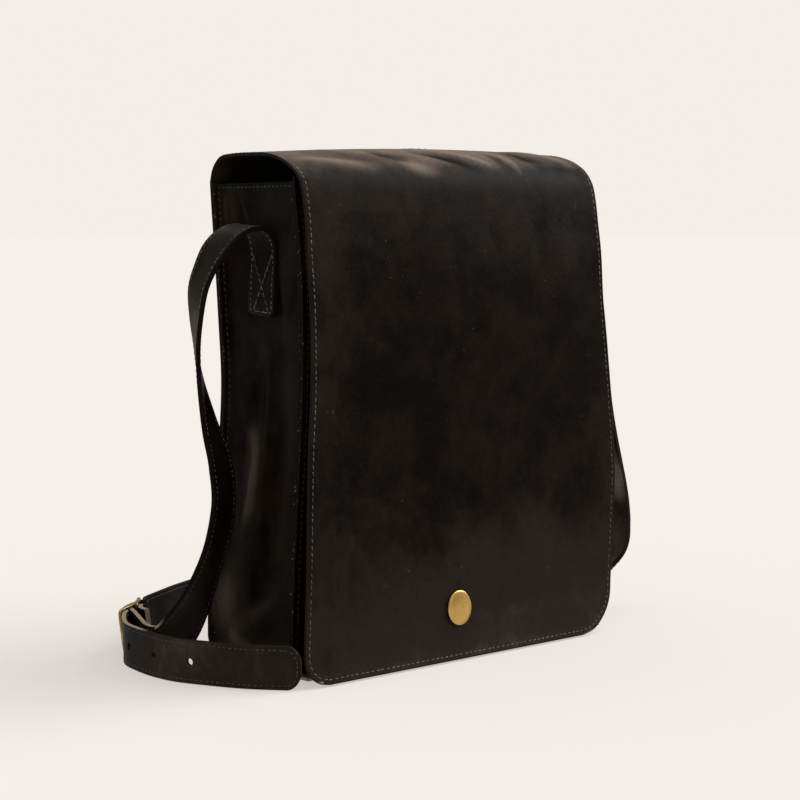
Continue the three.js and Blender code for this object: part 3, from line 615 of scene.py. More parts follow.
def add_wall(
    parts: MeshParts,
    grid: Array,
    thickness: float,
    edge: CutEdge,
    slots: tuple[int, int, int] = (2, 0, 1),
    drawn: Array | None = None,
) -> None:
    """A closed wall of even thickness about a grid: both faces offset along the normals, and a cut edge.

    The edge runs round the outline in steps: middle point plus normal times the step's share of the
    thickness, less the way outwards times its inset.

    Args:
        parts: takes the wall.
        grid: middle points, rows by columns.
        thickness: of the wall, millimetres.
        edge: profile of the cut edge.
        slots: material slots of the plus face, the minus face and the cut edge.
        drawn: how far the hide is drawn over a ridge at each middle point, where it is at all.
    """
    rows, columns = grid.shape[:2]
    flat, normals = grid.reshape(-1, 3), surface_normals(grid).reshape(-1, 3)
    rim = rim_order(rows, columns)
    along = unit(np.roll(flat[rim], -1, axis=0) - np.roll(flat[rim], 1, axis=0))
    outwards = unit(np.cross(along, normals[rim]))
    loops = [
        flat[rim] + normals[rim] * share * thickness - outwards * inset
        for share, inset in zip(edge.through, edge.inset)
    ]
    plus, minus = flat + normals * thickness / 2, flat - normals * thickness / 2
    plus[rim], minus[rim] = loops[0], loops[-1]
    size, ring = rows * columns, len(rim)
    between = np.vstack(loops[1:-1])
    points = np.vstack([plus, minus, between])
    ids = [rim, *(2 * size + ring * step + np.arange(ring) for step in range(len(loops) - 2)), size + rim]
    faces = grid_quads(rows, columns)
    edges = np.vstack([
        np.stack([upper, lower, np.roll(lower, -1), np.roll(upper, -1)], axis=1)
        for upper, lower in zip(ids, ids[1:])
    ])
    quads = np.vstack([faces, size + faces[:, ::-1], edges])
    finish = np.repeat(slots, [len(faces), len(faces), len(edges)])
    ridges = np.zeros(size) if drawn is None else drawn.ravel()
    parts.add(points, quads, finish, np.concatenate([ridges, ridges, np.zeros(len(between))]))


def add_tube(parts: MeshParts, centres: Array, sideways: Array, upwards: Array, closed: bool) -> None:
    """A closed tube along a path.

    Each ring is centre + sideways cos(a) + upwards sin(a), so the two vectors set its way and its radii.

    Args:
        parts: takes the tube.
        centres: the path.
        sideways: first radius at each place, as a vector.
        upwards: second radius.
        closed: whether the path meets its start.
    """
    turn = np.linspace(0, 2 * np.pi, TUBE_SIDES, endpoint=False)[None, :, None]
    rings = centres[:, None] + sideways[:, None] * np.cos(turn) + upwards[:, None] * np.sin(turn)
    start = parts.add(rings.reshape(-1, 3), grid_quads(len(rings), TUBE_SIDES, True, closed))
    if not closed:
        ring = np.arange(TUBE_SIDES)
        parts.cap(start + ring[::-1])
        parts.cap(start + (len(rings) - 1) * TUBE_SIDES + ring)


class StitchLine(NamedTuple):
    """A line to sew along: its points and the surface's normals there, millimetres."""

    points: Array
    normals: Array


def inset_line(grid: Array, face: Face, thickness: float, inset: float, rim: Array) -> StitchLine:
    """The line that runs inside part of a wall's outline.

    Each outline point moves in by the inset along the surface, square to the outline, and out to the wall's
    face.

    Args:
        grid: the wall's middle points.
        face: the face to sew on.
        thickness: of the wall.
        inset: from the outline to the line.
        rim: flat places of the outline's points, in order.

    Returns:
        The line.
    """
    flat, normals = grid.reshape(-1, 3), surface_normals(grid).reshape(-1, 3)
    along = unit(np.gradient(flat[rim], axis=0))
    inwards = unit(np.cross(normals[rim], along))
    out = normals[rim] * face.value
    return StitchLine(flat[rim] + inwards * inset + out * thickness / 2, out)


@dataclass(frozen=True)
class Sewing:
    """How thread lies: pitch of the stitches, their length, width and height, their slant and unevenness."""

    pitch: float = 4.5
    length: float = 3.2
    width: float = 0.72
    height: float = 0.54
    slant: float = 0.14
    uneven: float = 0.12


def add_stitches(parts: MeshParts, line: StitchLine, sewing: Sewing) -> None:
    """Thread stitches along a line: short six-sided rods whose ends dive into the leather.

    A stitch's point is centre + x along + y across + z out, from one small rod's x, y and z.

    Args:
        parts: takes them.
        line: where they run.
        sewing: their sizes.
    """
    lengths = lengths_along(line.points)
    count = max(1, round(lengths[-1] / sewing.pitch))
    uneven = np.random.default_rng(count).uniform(-sewing.uneven, sewing.uneven, (3, count, 1))
    middles = (np.arange(count) + 0.5 + uneven[0, :, 0]) * lengths[-1] / count
    centres = resampled(lengths, line.points, middles)
    out = unit(resampled(lengths, line.normals, middles))
    along = resampled(lengths, line.points, middles + 0.5) - resampled(lengths, line.points, middles - 0.5)
    along = unit(along - out * np.sum(along * out, axis=1, keepdims=True))
    across = np.cross(out, along)
    slant = sewing.slant + uneven[1]
    along, across = unit(along + slant * across), unit(across - slant * along)
    stations = np.array([-0.5, -0.36, 0.0, 0.36, 0.5])
    girth = np.array([0.45, 0.92, 1.0, 0.92, 0.45])
    sink = np.array([-0.42, -0.06, 0.06, -0.06, -0.42])
    sides = 6
    turn = np.linspace(0, 2 * np.pi, sides, endpoint=False)
    x = np.repeat(stations * sewing.length, sides)
    y = (girth[:, None] * np.cos(turn) * sewing.width / 2).ravel()
    z = (girth[:, None] * np.sin(turn) * sewing.height / 2 + sink[:, None]).ravel()
    rods = (
        centres[:, None]
        + along[:, None] * (1 + uneven[2])[..., None] * x[None, :, None]
        + across[:, None] * y[None, :, None]
        + out[:, None] * z[None, :, None]
    )
    size = len(x)
    shell = grid_quads(len(stations), sides, closed=True)
    starts = np.arange(count)[:, None, None] * size
    first = parts.add(rods.reshape(-1, 3), (starts + shell[None]).reshape(-1, 4))
    ends = np.arange(sides)
    tip = size - sides
    caps = np.stack([
        np.stack([ends[[3, 2, 1, 0]], ends[[5, 4, 3, 0]]]),
        np.stack([tip + ends[[0, 1, 2, 3]], tip + ends[[0, 3, 4, 5]]]),
    ]).reshape(-1, 4)
    parts.quads.append((first + starts + caps[None]).reshape(-1, 4))
    parts.finish.append(np.zeros(count * len(caps), int))


# Finishes


class Value:
    """A socket of a material's node tree; arithmetic on it adds Math nodes."""

    def __init__(self, graph: "Graph", socket: bpy.types.NodeSocket) -> None:
        """Holds the socket and the graph it belongs to."""
        self.graph = graph
        self.socket = socket

    def _math(self, operation: str, first: Any, second: Any = 0.0) -> "Value":
        """One Math node."""
        return self.graph.node("ShaderNodeMath", {"operation": operation}, {0: first, 1: second})

    def __add__(self, other: Any) -> "Value":
        """Sum."""
        return self._math("ADD", self, other)

    __radd__ = __add__

    def __sub__(self, other: Any) -> "Value":
        """Difference."""
        return self._math("SUBTRACT", self, other)

    def __rsub__(self, other: Any) -> "Value":
        """Difference from a number."""
        return self._math("SUBTRACT", other, self)

    def __mul__(self, other: Any) -> "Value":
        """Product."""
        return self._math("MULTIPLY", self, other)

    __rmul__ = __mul__

    def __pow__(self, other: Any) -> "Value":
        """Power."""
        return self._math("POWER", self, other)

    def most(self, other: Any) -> "Value":
        """The greater of two."""
        return self._math("MAXIMUM", self, other)

    def step(self, low: float, high: float) -> "Value":
        """Rises smoothly from 0 at low to 1 at high."""
        return self.graph.node(
            "ShaderNodeMapRange",
            {"interpolation_type": "SMOOTHSTEP"},
            {"Value": self, "From Min": low, "From Max": high},
        )


class Graph:
    """A material's or world's node tree and the one method that makes its nodes."""

    def __init__(self, owner: bpy.types.Material | bpy.types.World) -> None:
        """Empties the owner's tree.

        Args:
            owner: the material or world.
        """
        self.owner = owner
        owner.use_nodes = True
        self.tree = owner.node_tree
        self.tree.nodes.clear()

    def node(
        self, kind: str, settings: dict[str, Any], inputs: dict[Any, Any], output: int | str = 0
    ) -> Value | None:
        """Makes one node.

        Args:
            kind: the node's type.
            settings: its own settings, set first.
            inputs: values or links of its sockets, by name or place.
            output: which output to hand back.

        Returns:
            That output, or nothing from a node that ends the tree.
        """
        made = self.tree.nodes.new(kind)
        for key, value in settings.items():
            setattr(made, key, value)
        for key, value in inputs.items():
            if isinstance(value, Value):
                self.tree.links.new(value.socket, made.inputs[key])
            else:
                made.inputs[key].default_value = value
        return Value(self, made.outputs[output]) if made.outputs else None

    def place(self, scale: Triple = (1, 1, 1), turn: Triple = (0, 0, 0)) -> Value:
        """Object coordinates, turned and stretched."""
        spot = self.node("ShaderNodeTexCoord", {}, {}, "Object")
        return self.node("ShaderNodeMapping", {}, {"Vector": spot, "Scale": scale, "Rotation": turn})

    def height(self, vector: Value) -> Value:
        """A vector's Z."""
        return self.node("ShaderNodeSeparateXYZ", {}, {0: vector}, "Z")

    def noise(
        self, spot: Value, scale: float, detail: float = 3.0, rough: float = 0.5, bend: float = 0.0
    ) -> Value:
        """Soft noise about one half, scale features a metre."""
        inputs = {"Vector": spot, "Scale": scale, "Detail": detail, "Roughness": rough, "Distortion": bend}
        return self.node("ShaderNodeTexNoise", {}, inputs)

    def cells(self, spot: Value, scale: float, feature: str = "F1") -> Value:
        """Distance from the middle of scattered cells, scale cells a metre."""
        inputs = {"Vector": spot, "Scale": scale}
        return self.node("ShaderNodeTexVoronoi", {"feature": feature}, inputs, "Distance")

    def mix(self, share: Value, low: Any, high: Any) -> Value:
        """A colour between two.

        Args:
            share: 0 for the first colour to 1 for the second.
            low: the first colour, or a link to it.
            high: the second one.

        Returns:
            The mixed colour.
        """
        # Sockets 6 and 7 take the two colours, and output 2 gives the mixed one
        first, second = (end if isinstance(end, Value) else (*end, 1.0) for end in (low, high))
        return self.node("ShaderNodeMix", {"data_type": "RGBA"}, {0: share, 6: first, 7: second}, 2)

    def bump(self, height: Value, strength: float, distance: float, under: Value | None = None) -> Value:
        """A bumped normal.

        Args:
            height: of the bumps, 0 to 1.
            strength: how strongly they show.
            distance: height of a full bump, metres.
            under: the normal that they lie on, if any.

        Returns:
            The normal.
        """
        inputs: dict[str, Any] = {"Height": height, "Strength": strength, "Distance": distance}
        if under is not None:
            inputs["Normal"] = under
        return self.node("ShaderNodeBump", {}, inputs, "Normal")

    def surface(self, inputs: dict[str, Any]) -> bpy.types.Material:
        """Ends the tree in one shader.

        Args:
            inputs: values or links of the shader's sockets.

        Returns:
            The finished material.
        """
        shader = self.node("ShaderNodeBsdfPrincipled", {}, inputs)
        self.node("ShaderNodeOutputMaterial", {}, {"Surface": shader})
        return self.owner


class WearAndLightPatch(NamedTuple):
    """A place where the hide is painted paler or darker, some of them painted highlight and painted shade:
    its middle and reach each way, metres, and how far.
    """

    at: Triple
    reach: Triple
    share: float


FLAP_WEAR_AND_LIGHT = (
    WearAndLightPatch((0.0, -0.066, 0.0), (0.36, 0.2, 0.09), 1.7),
    WearAndLightPatch((0.07, -0.062, 0.08), (0.12, 0.2, 0.07), 0.5),
    # These three set how strongly the painted top sheen shows: dimmer at the top's left and right, a little
    # stronger at the front shoulder.
    WearAndLightPatch((-0.1, -0.03, 0.36), (0.06, 0.07, 0.03), -1.7),
    WearAndLightPatch((0.03, -0.06, 0.325), (0.2, 0.2, 0.05), 0.35),
    WearAndLightPatch((0.11, -0.01, 0.36), (0.06, 0.12, 0.03), -1.2),
    WearAndLightPatch((-0.12, -0.06, 0.2), (0.04, 0.2, 0.2), 0.35),
    WearAndLightPatch((0.0, -0.062, 0.2), (0.17, 0.2, 0.12), -1.2),
)
SIDE_WEAR_AND_LIGHT = (
    WearAndLightPatch((-0.14, 0.042, 0.043), (0.1, 0.028, 0.034), 5.6),
    WearAndLightPatch((-0.134, 0.036, 0.19), (0.1, 0.014, 0.035), 0.8),
    WearAndLightPatch((-0.134, -0.02, 0.18), (0.1, 0.022, 0.03), 0.6),
    WearAndLightPatch((-0.134, -0.022, 0.085), (0.1, 0.014, 0.03), 0.6),
    WearAndLightPatch((-0.134, 0.012, 0.012), (0.1, 0.03, 0.016), 1.0),
    WearAndLightPatch((-0.134, -0.03, 0.29), (0.1, 0.014, 0.06), 0.7),
    WearAndLightPatch((-0.134, 0.042, 0.32), (0.1, 0.02, 0.025), 0.8),
    # Painted shade: darker under the short strap's arch, where the arch shades the gusset.
    WearAndLightPatch((-0.134, 0.026, 0.276), (0.1, 0.024, 0.036), -3.0),
    # Painted highlight along the gusset's upright ridge.
    WearAndLightPatch((-0.134, 0.01, 0.132), (0.1, 0.012, 0.045), 3.5),
    WearAndLightPatch((-0.134, 0.0, 0.11), (0.1, 0.02, 0.06), -0.6),
)
STRAP_WEAR_AND_LIGHT = (
    WearAndLightPatch((-0.165, -0.045, 0.015), (0.05, 0.07, 0.1), 2.6),
    WearAndLightPatch((-0.2, 0.02, 0.018), (0.03, 0.05, 0.1), 3.0),
    # Painted highlight: a pale band on the short strap's hang beside its arch.
    WearAndLightPatch((-0.188, -0.006, 0.245), (0.02, 0.03, 0.03), 3.2),
    # Painted highlight: these four follow the long strap's roll on the right down its inner face, where it
    # catches the light.
    WearAndLightPatch((0.1965, -0.014, 0.134), (0.0024, 0.012, 0.016), 3.0),
    WearAndLightPatch((0.1992, -0.015, 0.12), (0.0024, 0.012, 0.016), 5.0),
    WearAndLightPatch((0.2017, -0.016, 0.108), (0.0024, 0.012, 0.016), 9.0),
    WearAndLightPatch((0.204, -0.016, 0.096), (0.0024, 0.012, 0.016), 5.0),
    # Painted shade: darker on the strap faces behind the buckle, which lie in the bag's shadow.
    WearAndLightPatch((-0.15, 0.13, 0.017), (0.06, 0.06, 0.06), -4.0),
    # Painted highlight: paler again lower on the roll.
    WearAndLightPatch((0.203, -0.012, 0.05), (0.03, 0.04, 0.07), 4.0),
    # Painted shade: these two darken the underside of the arch where the short strap's sewn end bends out.
    WearAndLightPatch((-0.135, -0.002, 0.27), (0.004, 0.05, 0.035), -0.8),
    WearAndLightPatch((-0.138, -0.004, 0.295), (0.009, 0.03, 0.02), -2.6),
)


@dataclass(frozen=True)
class WaxedLeather:
    """Waxed hide that pales on drawn ridges and is painted with sheen where it faces up: its colours, gloss,
    patches (some of them painted highlight and painted shade), and features a metre.
    """

    name: str
    deep: Colour = (0.0022, 0.0012, 0.0006)
    pale: Colour = (0.0078, 0.0052, 0.0036)
    haze: Colour = (0.0156, 0.0121, 0.0097)
    bloom: Colour = (0.05, 0.041, 0.034)
    topped: Colour = (0.15, 0.115, 0.093)
    marked: Colour = (0.085, 0.077, 0.067)
    topped_share: float = 1.0
    clouds: float = 12.0
    fine: float = 380.0
    grain: float = 640.0
    pores: float = 1300.0
    swell: float = 46.0
    haze_from: float = 0.41
    haze_to: float = 0.71
    gloss: float = 0.45
    specular: float = 0.04
    wear: tuple[WearAndLightPatch, ...] = ()
    patch_weight: float = 0.16
    patch_edge: float = 1.35

    def material(self) -> bpy.types.Material:
        """Wisps and streaks of haze pale the hide, specks and scuffs lie on it, and fine grain dents it.

        The haze is thick where the wisps, the patches and the drawn ridges add up; some patches are painted
        highlight and painted shade. A paler colour is then painted on as sheen where the hide faces up, where
        the haze is thick and along drawn ridges.

        Returns:
            The material.
        """
        graph = Graph(bpy.data.materials.new(self.name))
        spot = graph.place()
        wisps = graph.noise(spot, self.clouds, 7, 0.66, 0.45)
        streaks = graph.noise(graph.place((1, 1, 0.6), (0.2, 0.5, 0)), self.clouds * 2.7, 7, 0.72, 0.3)
        # Drawn ridges thicken the haze and furrows thin it: pull-up paling, with painted highlight on the
        # ridges and painted shade in the furrows.
        drawn = graph.node("ShaderNodeAttribute", {"attribute_name": DRAWN_AND_SHEEN}, {}, "Fac")
        thick = wisps * 0.55 + streaks * 0.45 + drawn * 0.22
        # Patches thicken the haze where their share is above 0 and thin it below; some are painted highlight
        # and painted shade.
        for patch in self.wear:
            near = 1 - self.distance(graph, patch).step(0.0, self.patch_edge)
            thick = thick + near * (patch.share * self.patch_weight)
        haze = thick.step(self.haze_from, self.haze_to)
        tone = graph.noise(spot, self.clouds * 1.9, 6, 0.66).step(0.36, 0.66)
        colour = graph.mix(tone, self.deep, self.pale)
        colour = graph.mix(haze * 0.95, colour, self.haze)
        # Palest where the haze is thickest: a paler waxy haze, and on the strap, whose colour here is far
        # paler, a painted highlight.
        colour = graph.mix(thick.step(0.85, 1.9), colour, self.bloom)
        normal = graph.node("ShaderNodeNewGeometry", {}, {}, "Normal")
        facing = graph.height(normal).most(0.0)
        # Painted sheen: the hide is painted paler where it faces up, where its haze is thick and on drawn
        # ridges, standing in for the sheen of the light from above.
        upper = facing**2 * 0.95 + (thick - 0.5) * 1.1 + drawn * 0.34
        colour = graph.mix(upper.step(0.3, 1.15) * self.topped_share, colour, self.topped)
        fine = graph.noise(spot, self.fine, 5, 0.68)
        colour = graph.mix((fine - 0.5) * 0.8, colour, self.haze)
        colour = graph.mix((0.5 - fine) * 1.2, colour, self.deep)
        marks = self.marks(graph, spot)
        colour = graph.mix(marks, colour, self.marked)
        grain = graph.cells(graph.place((1, 1, 1), (0.3, 0.1, 0.6)), self.grain, "SMOOTH_F1")
        pores = graph.noise(spot, self.pores, 2, 0.6)
        swell = graph.noise(spot, self.swell, 4, 0.55, 0.5)
        soft = graph.bump(swell, 0.45, 0.0014)
        dull = (1 - thick.step(0.0, 0.5)) * 0.4
        return graph.surface({
            "Base Color": colour,
            "Roughness": self.gloss + haze * 0.12 + dull + (fine - 0.5) * 0.2 + marks * 0.12,
            "Specular IOR Level": self.specular,
            "Normal": graph.bump(grain * 0.7 + pores * 0.5, 0.4, 0.0003, soft),
        })

    def distance(self, graph: Graph, patch: WearAndLightPatch) -> Value:
        """Distance from a patch's middle, counted in its reach.

        Args:
            graph: the material's tree.
            patch: the patch.

        Returns:
            0 in the middle and 1 at its reach.
        """
        scale = tuple(1 / reach for reach in patch.reach)
        shift = tuple(-at / reach for at, reach in zip(patch.at, patch.reach))
        spot = graph.node("ShaderNodeTexCoord", {}, {}, "Object")
        near = graph.node("ShaderNodeMapping", {}, {"Vector": spot, "Scale": scale, "Location": shift})
        return graph.node("ShaderNodeVectorMath", {"operation": "LENGTH"}, {0: near}, "Value")

    def marks(self, graph: Graph, spot: Value) -> Value:
        """Scuffs and specks, 1 where the hide is marked most.

        Args:
            graph: the material's tree.
            spot: object coordinates.

        Returns:
            A share.
        """
        scratch = graph.noise(graph.place((1, 1, 0.4), (0.5, 0.8, 0.3)), 150, 3, 0.55, 1.6)
        scuff = scratch.step(0.7, 0.76) * graph.noise(spot, 24, 2).step(0.54, 0.66)
        dots = 1 - graph.cells(spot, 120).step(0.04, 0.09)
        tiny = 1 - graph.cells(spot, 310).step(0.05, 0.12)
        rare = graph.noise(spot, 61, 1).step(0.58, 0.64)
        rarer = graph.noise(spot, 97, 1).step(0.55, 0.62)
        return (scuff * 0.4).most(dots * rare * 0.5).most(tiny * rarer * 0.4)


@dataclass(frozen=True)
class RawEdge:
    """The cut edge of hide: undyed fibres, bared near one place and low down, dyed and waxed elsewhere."""

    name: str
    fibre: Colour = (0.36, 0.28, 0.21)
    dyed: Colour = (0.0045, 0.0035, 0.0028)
    fluff: Colour = (0.2, 0.19, 0.175)
    bare_at: Triple = (0, 0, 0)
    bare_near: float = 0.0
    bare_far: float = 0.001
    bare_foot: float = 0.0
    foot: float = 0.006
    specks: float = 0.0

    def material(self) -> bpy.types.Material:
        """Dye over pale fibres, rubbed off in ragged patches, with a fibrous bump.

        Returns:
            The material.
        """
        graph = Graph(bpy.data.materials.new(self.name))
        spot = graph.place()
        ragged = graph.noise(spot, 40, 4, 0.6, 0.6) - 0.5
        ends = {0: spot, 1: self.bare_at}
        away = graph.node("ShaderNodeVectorMath", {"operation": "DISTANCE"}, ends, "Value")
        near = 1 - (away + ragged * 0.02).step(self.bare_near, self.bare_far)
        low = 1 - (graph.height(spot) + ragged * 0.004).step(self.foot * 0.7, self.foot * 1.4)
        bare = near.most(low * self.bare_foot)
        fibres = graph.noise(spot, 900, 3, 0.65)
        colour = graph.mix(bare, self.dyed, self.fibre)
        colour = graph.mix(fibres.step(0.4, 0.75) * 0.45, colour, self.dyed)
        tufts = 1 - graph.cells(spot, 430).step(0.1, 0.3)
        loose = tufts * graph.noise(spot, 260, 2).step(0.44, 0.6)
        colour = graph.mix(loose * self.specks, colour, self.fluff)
        return graph.surface({
            "Base Color": colour,
            "Roughness": 0.75 + fibres * 0.15,
            "Specular IOR Level": 0.06,
            "Normal": graph.bump(fibres, 0.5, 0.0003),
        })


@dataclass(frozen=True)
class FleshSide:
    """The inner, napped side of the hide."""

    name: str
    dark: Colour = (0.0035, 0.0022, 0.0014)
    light: Colour = (0.03, 0.0185, 0.011)

    def material(self) -> bpy.types.Material:
        """Brown nap, mottled by how it is brushed.

        Returns:
            The material.
        """
        graph = Graph(bpy.data.materials.new(self.name))
        spot = graph.place()
        brushed = graph.noise(spot, 34, 5, 0.6, 0.8)
        nap = graph.noise(spot, 1100, 3, 0.7)
        colour = graph.mix((brushed * 0.7 + nap * 0.3).step(0.36, 0.66), self.dark, self.light)
        return graph.surface({
            "Base Color": colour,
            "Roughness": 0.85 + nap * 0.1,
            "Specular IOR Level": 0.03,
            "Normal": graph.bump(nap, 0.6, 0.0004),
        })


@dataclass(frozen=True)
class WaxedThread:
    """Waxed grey sewing thread, darker towards the bottom."""

    name: str
    dark: Colour = (0.02, 0.018, 0.0155)
    light: Colour = (0.17, 0.16, 0.144)
    twist: float = 1500.0
    soiled: float = 0.5
    soiled_at: float = 0.1
    clean_at: float = 0.3

    def material(self) -> bpy.types.Material:
        """Twisted strands show as fine bands; some lengths are darker with wax, and the thread is darker
        towards the bottom.

        Returns:
            The material.
        """
        graph = Graph(bpy.data.materials.new(self.name))
        spot = graph.place()
        waxed = graph.noise(spot, 130, 3, 0.65).step(0.34, 0.68)
        strand = graph.noise(spot, self.twist, 1, 0.5)
        # Darker towards the bottom: only a share of the lighter colour low down, all of it higher up.
        high = graph.height(spot).step(self.soiled_at, self.clean_at)
        height_share = self.soiled + high * (1 - self.soiled)
        colour = graph.mix((waxed * 0.75 + strand * 0.25) * height_share, self.dark, self.light)
        return graph.surface({
            "Base Color": colour,
            "Roughness": 0.5 + strand * 0.2,
            "Specular IOR Level": 0.4,
            "Normal": graph.bump(strand, 0.5, 0.0002),
        })


@dataclass(frozen=True)
class AgedBrass:
    """Solid brass with a brushed, slightly tarnished face."""

    name: str
    bright: Colour = (0.56, 0.36, 0.11)
    dull: Colour = (0.3, 0.18, 0.055)
    rough: float = 0.3
    tarnished: float = 0.8

    def material(self) -> bpy.types.Material:
        """Tarnish clouds dull the metal and fine brushing roughens it.

        Returns:
            The material.
        """
        graph = Graph(bpy.data.materials.new(self.name))
        spot = graph.place()
        tarnish = graph.noise(spot, 190, 5, 0.6, 0.5).step(0.42, 0.66)
        brushed = graph.noise(graph.place((1, 1, 0.06)), 2600, 2, 0.5)
        colour = graph.mix(tarnish * self.tarnished, self.bright, self.dull)
        return graph.surface({
            "Base Color": colour,
            "Metallic": 1.0,
            "Roughness": self.rough + tarnish * self.tarnished * 0.2 + (brushed - 0.5) * 0.12,
            "Normal": graph.bump(brushed, 0.12, 0.0001),
        })


@dataclass(frozen=True)
class Finishes:
    """Every material of the bag."""

    flap: bpy.types.Material
    front: bpy.types.Material
    gusset: bpy.types.Material
    strap: bpy.types.Material
    flap_edge: bpy.types.Material
    body_edge: bpy.types.Material
    short_edge: bpy.types.Material
    long_edge: bpy.types.Material
    flesh: bpy.types.Material
    thread: bpy.types.Material
    seam_thread: bpy.types.Material
    front_thread: bpy.types.Material
    strap_thread: bpy.types.Material
    buckle: bpy.types.Material
    plate: bpy.types.Material


def make_finishes() -> Finishes:
    """Makes the materials once.

    Returns:
        The bag's finishes.
    """
    # For the gusset and the straps: haze over a wider range and a weaker painted top sheen.
    wider_haze_less_sheen = {"haze_from": 0.4, "haze_to": 0.8, "topped_share": 0.3}
    bared = {"bare_at": (-0.193, 0.082, 0.022), "bare_near": 0.035, "bare_far": 0.047, "foot": 0.003}
    return Finishes(
        flap=WaxedLeather("flap_leather", gloss=0.52, specular=0.025, wear=FLAP_WEAR_AND_LIGHT).material(),
        # Less haze than the flap, so darker: painted shade for the front panel's margin, which lies in the
        # flap's shade.
        front=WaxedLeather("front_leather", haze_from=0.55, haze_to=0.8, gloss=0.38).material(),
        gusset=WaxedLeather(
            "gusset_leather",
            pale=(0.0085, 0.0055, 0.0036),
            clouds=17,
            gloss=0.5,
            specular=0.028,
            wear=SIDE_WEAR_AND_LIGHT,
            **wider_haze_less_sheen,
        ).material(),
        # The strap's far paler colour for the thickest haze paints the highlight on its roll.
        strap=WaxedLeather(
            "strap_leather", bloom=(0.28, 0.238, 0.203), clouds=15, gloss=0.4, wear=STRAP_WEAR_AND_LIGHT, **wider_haze_less_sheen
        ).material(),
        flap_edge=RawEdge("flap_cut_edge", dyed=(0.012, 0.0095, 0.0076)).material(),
        body_edge=RawEdge(
            "body_cut_edge", dyed=(0.007, 0.0056, 0.0045), bare_foot=1.0, specks=0.8
        ).material(),
        short_edge=RawEdge("short_cut_edge", bare_foot=0.4, **bared).material(),
        long_edge=RawEdge("long_cut_edge", dyed=(0.015, 0.012, 0.0096), bare_foot=0.6, **bared).material(),
        flesh=FleshSide("flesh_side").material(),
        thread=WaxedThread("waxed_thread").material(),
        seam_thread=WaxedThread("seam_thread", (0.006, 0.0052, 0.0042), (0.055, 0.051, 0.045)).material(),
        # A near-black copy of the thread for the front seam: painted shade for its place under the flap.
        front_thread=WaxedThread("front_thread", (0.003, 0.0026, 0.0021), (0.018, 0.0167, 0.0147)).material(),
        strap_thread=WaxedThread(
            "strap_thread",
            (0.01, 0.009, 0.0075),
            (0.22, 0.206, 0.185),
            soiled=0.22,
            soiled_at=0.05,
            clean_at=0.2,
        ).material(),
        buckle=AgedBrass("aged_brass", (0.4, 0.27, 0.1), (0.19, 0.12, 0.045)).material(),
        plate=AgedBrass("plate_brass", tarnished=0.2).material(),
    )


def settle(piece: bpy.types.Object, slot: str, *nodes: str) -> None:
    """Fixes a piece to the body, hides the solids it stands for, and logs its face count.

    Args:
        piece: the piece.
        slot: not used.
        nodes: solids that it replaces.
    """
    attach(piece, "root")
    if nodes:
        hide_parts(*nodes)
    LOG.info("%s: %d faces", piece.name, len(piece.data.polygons))


# The body


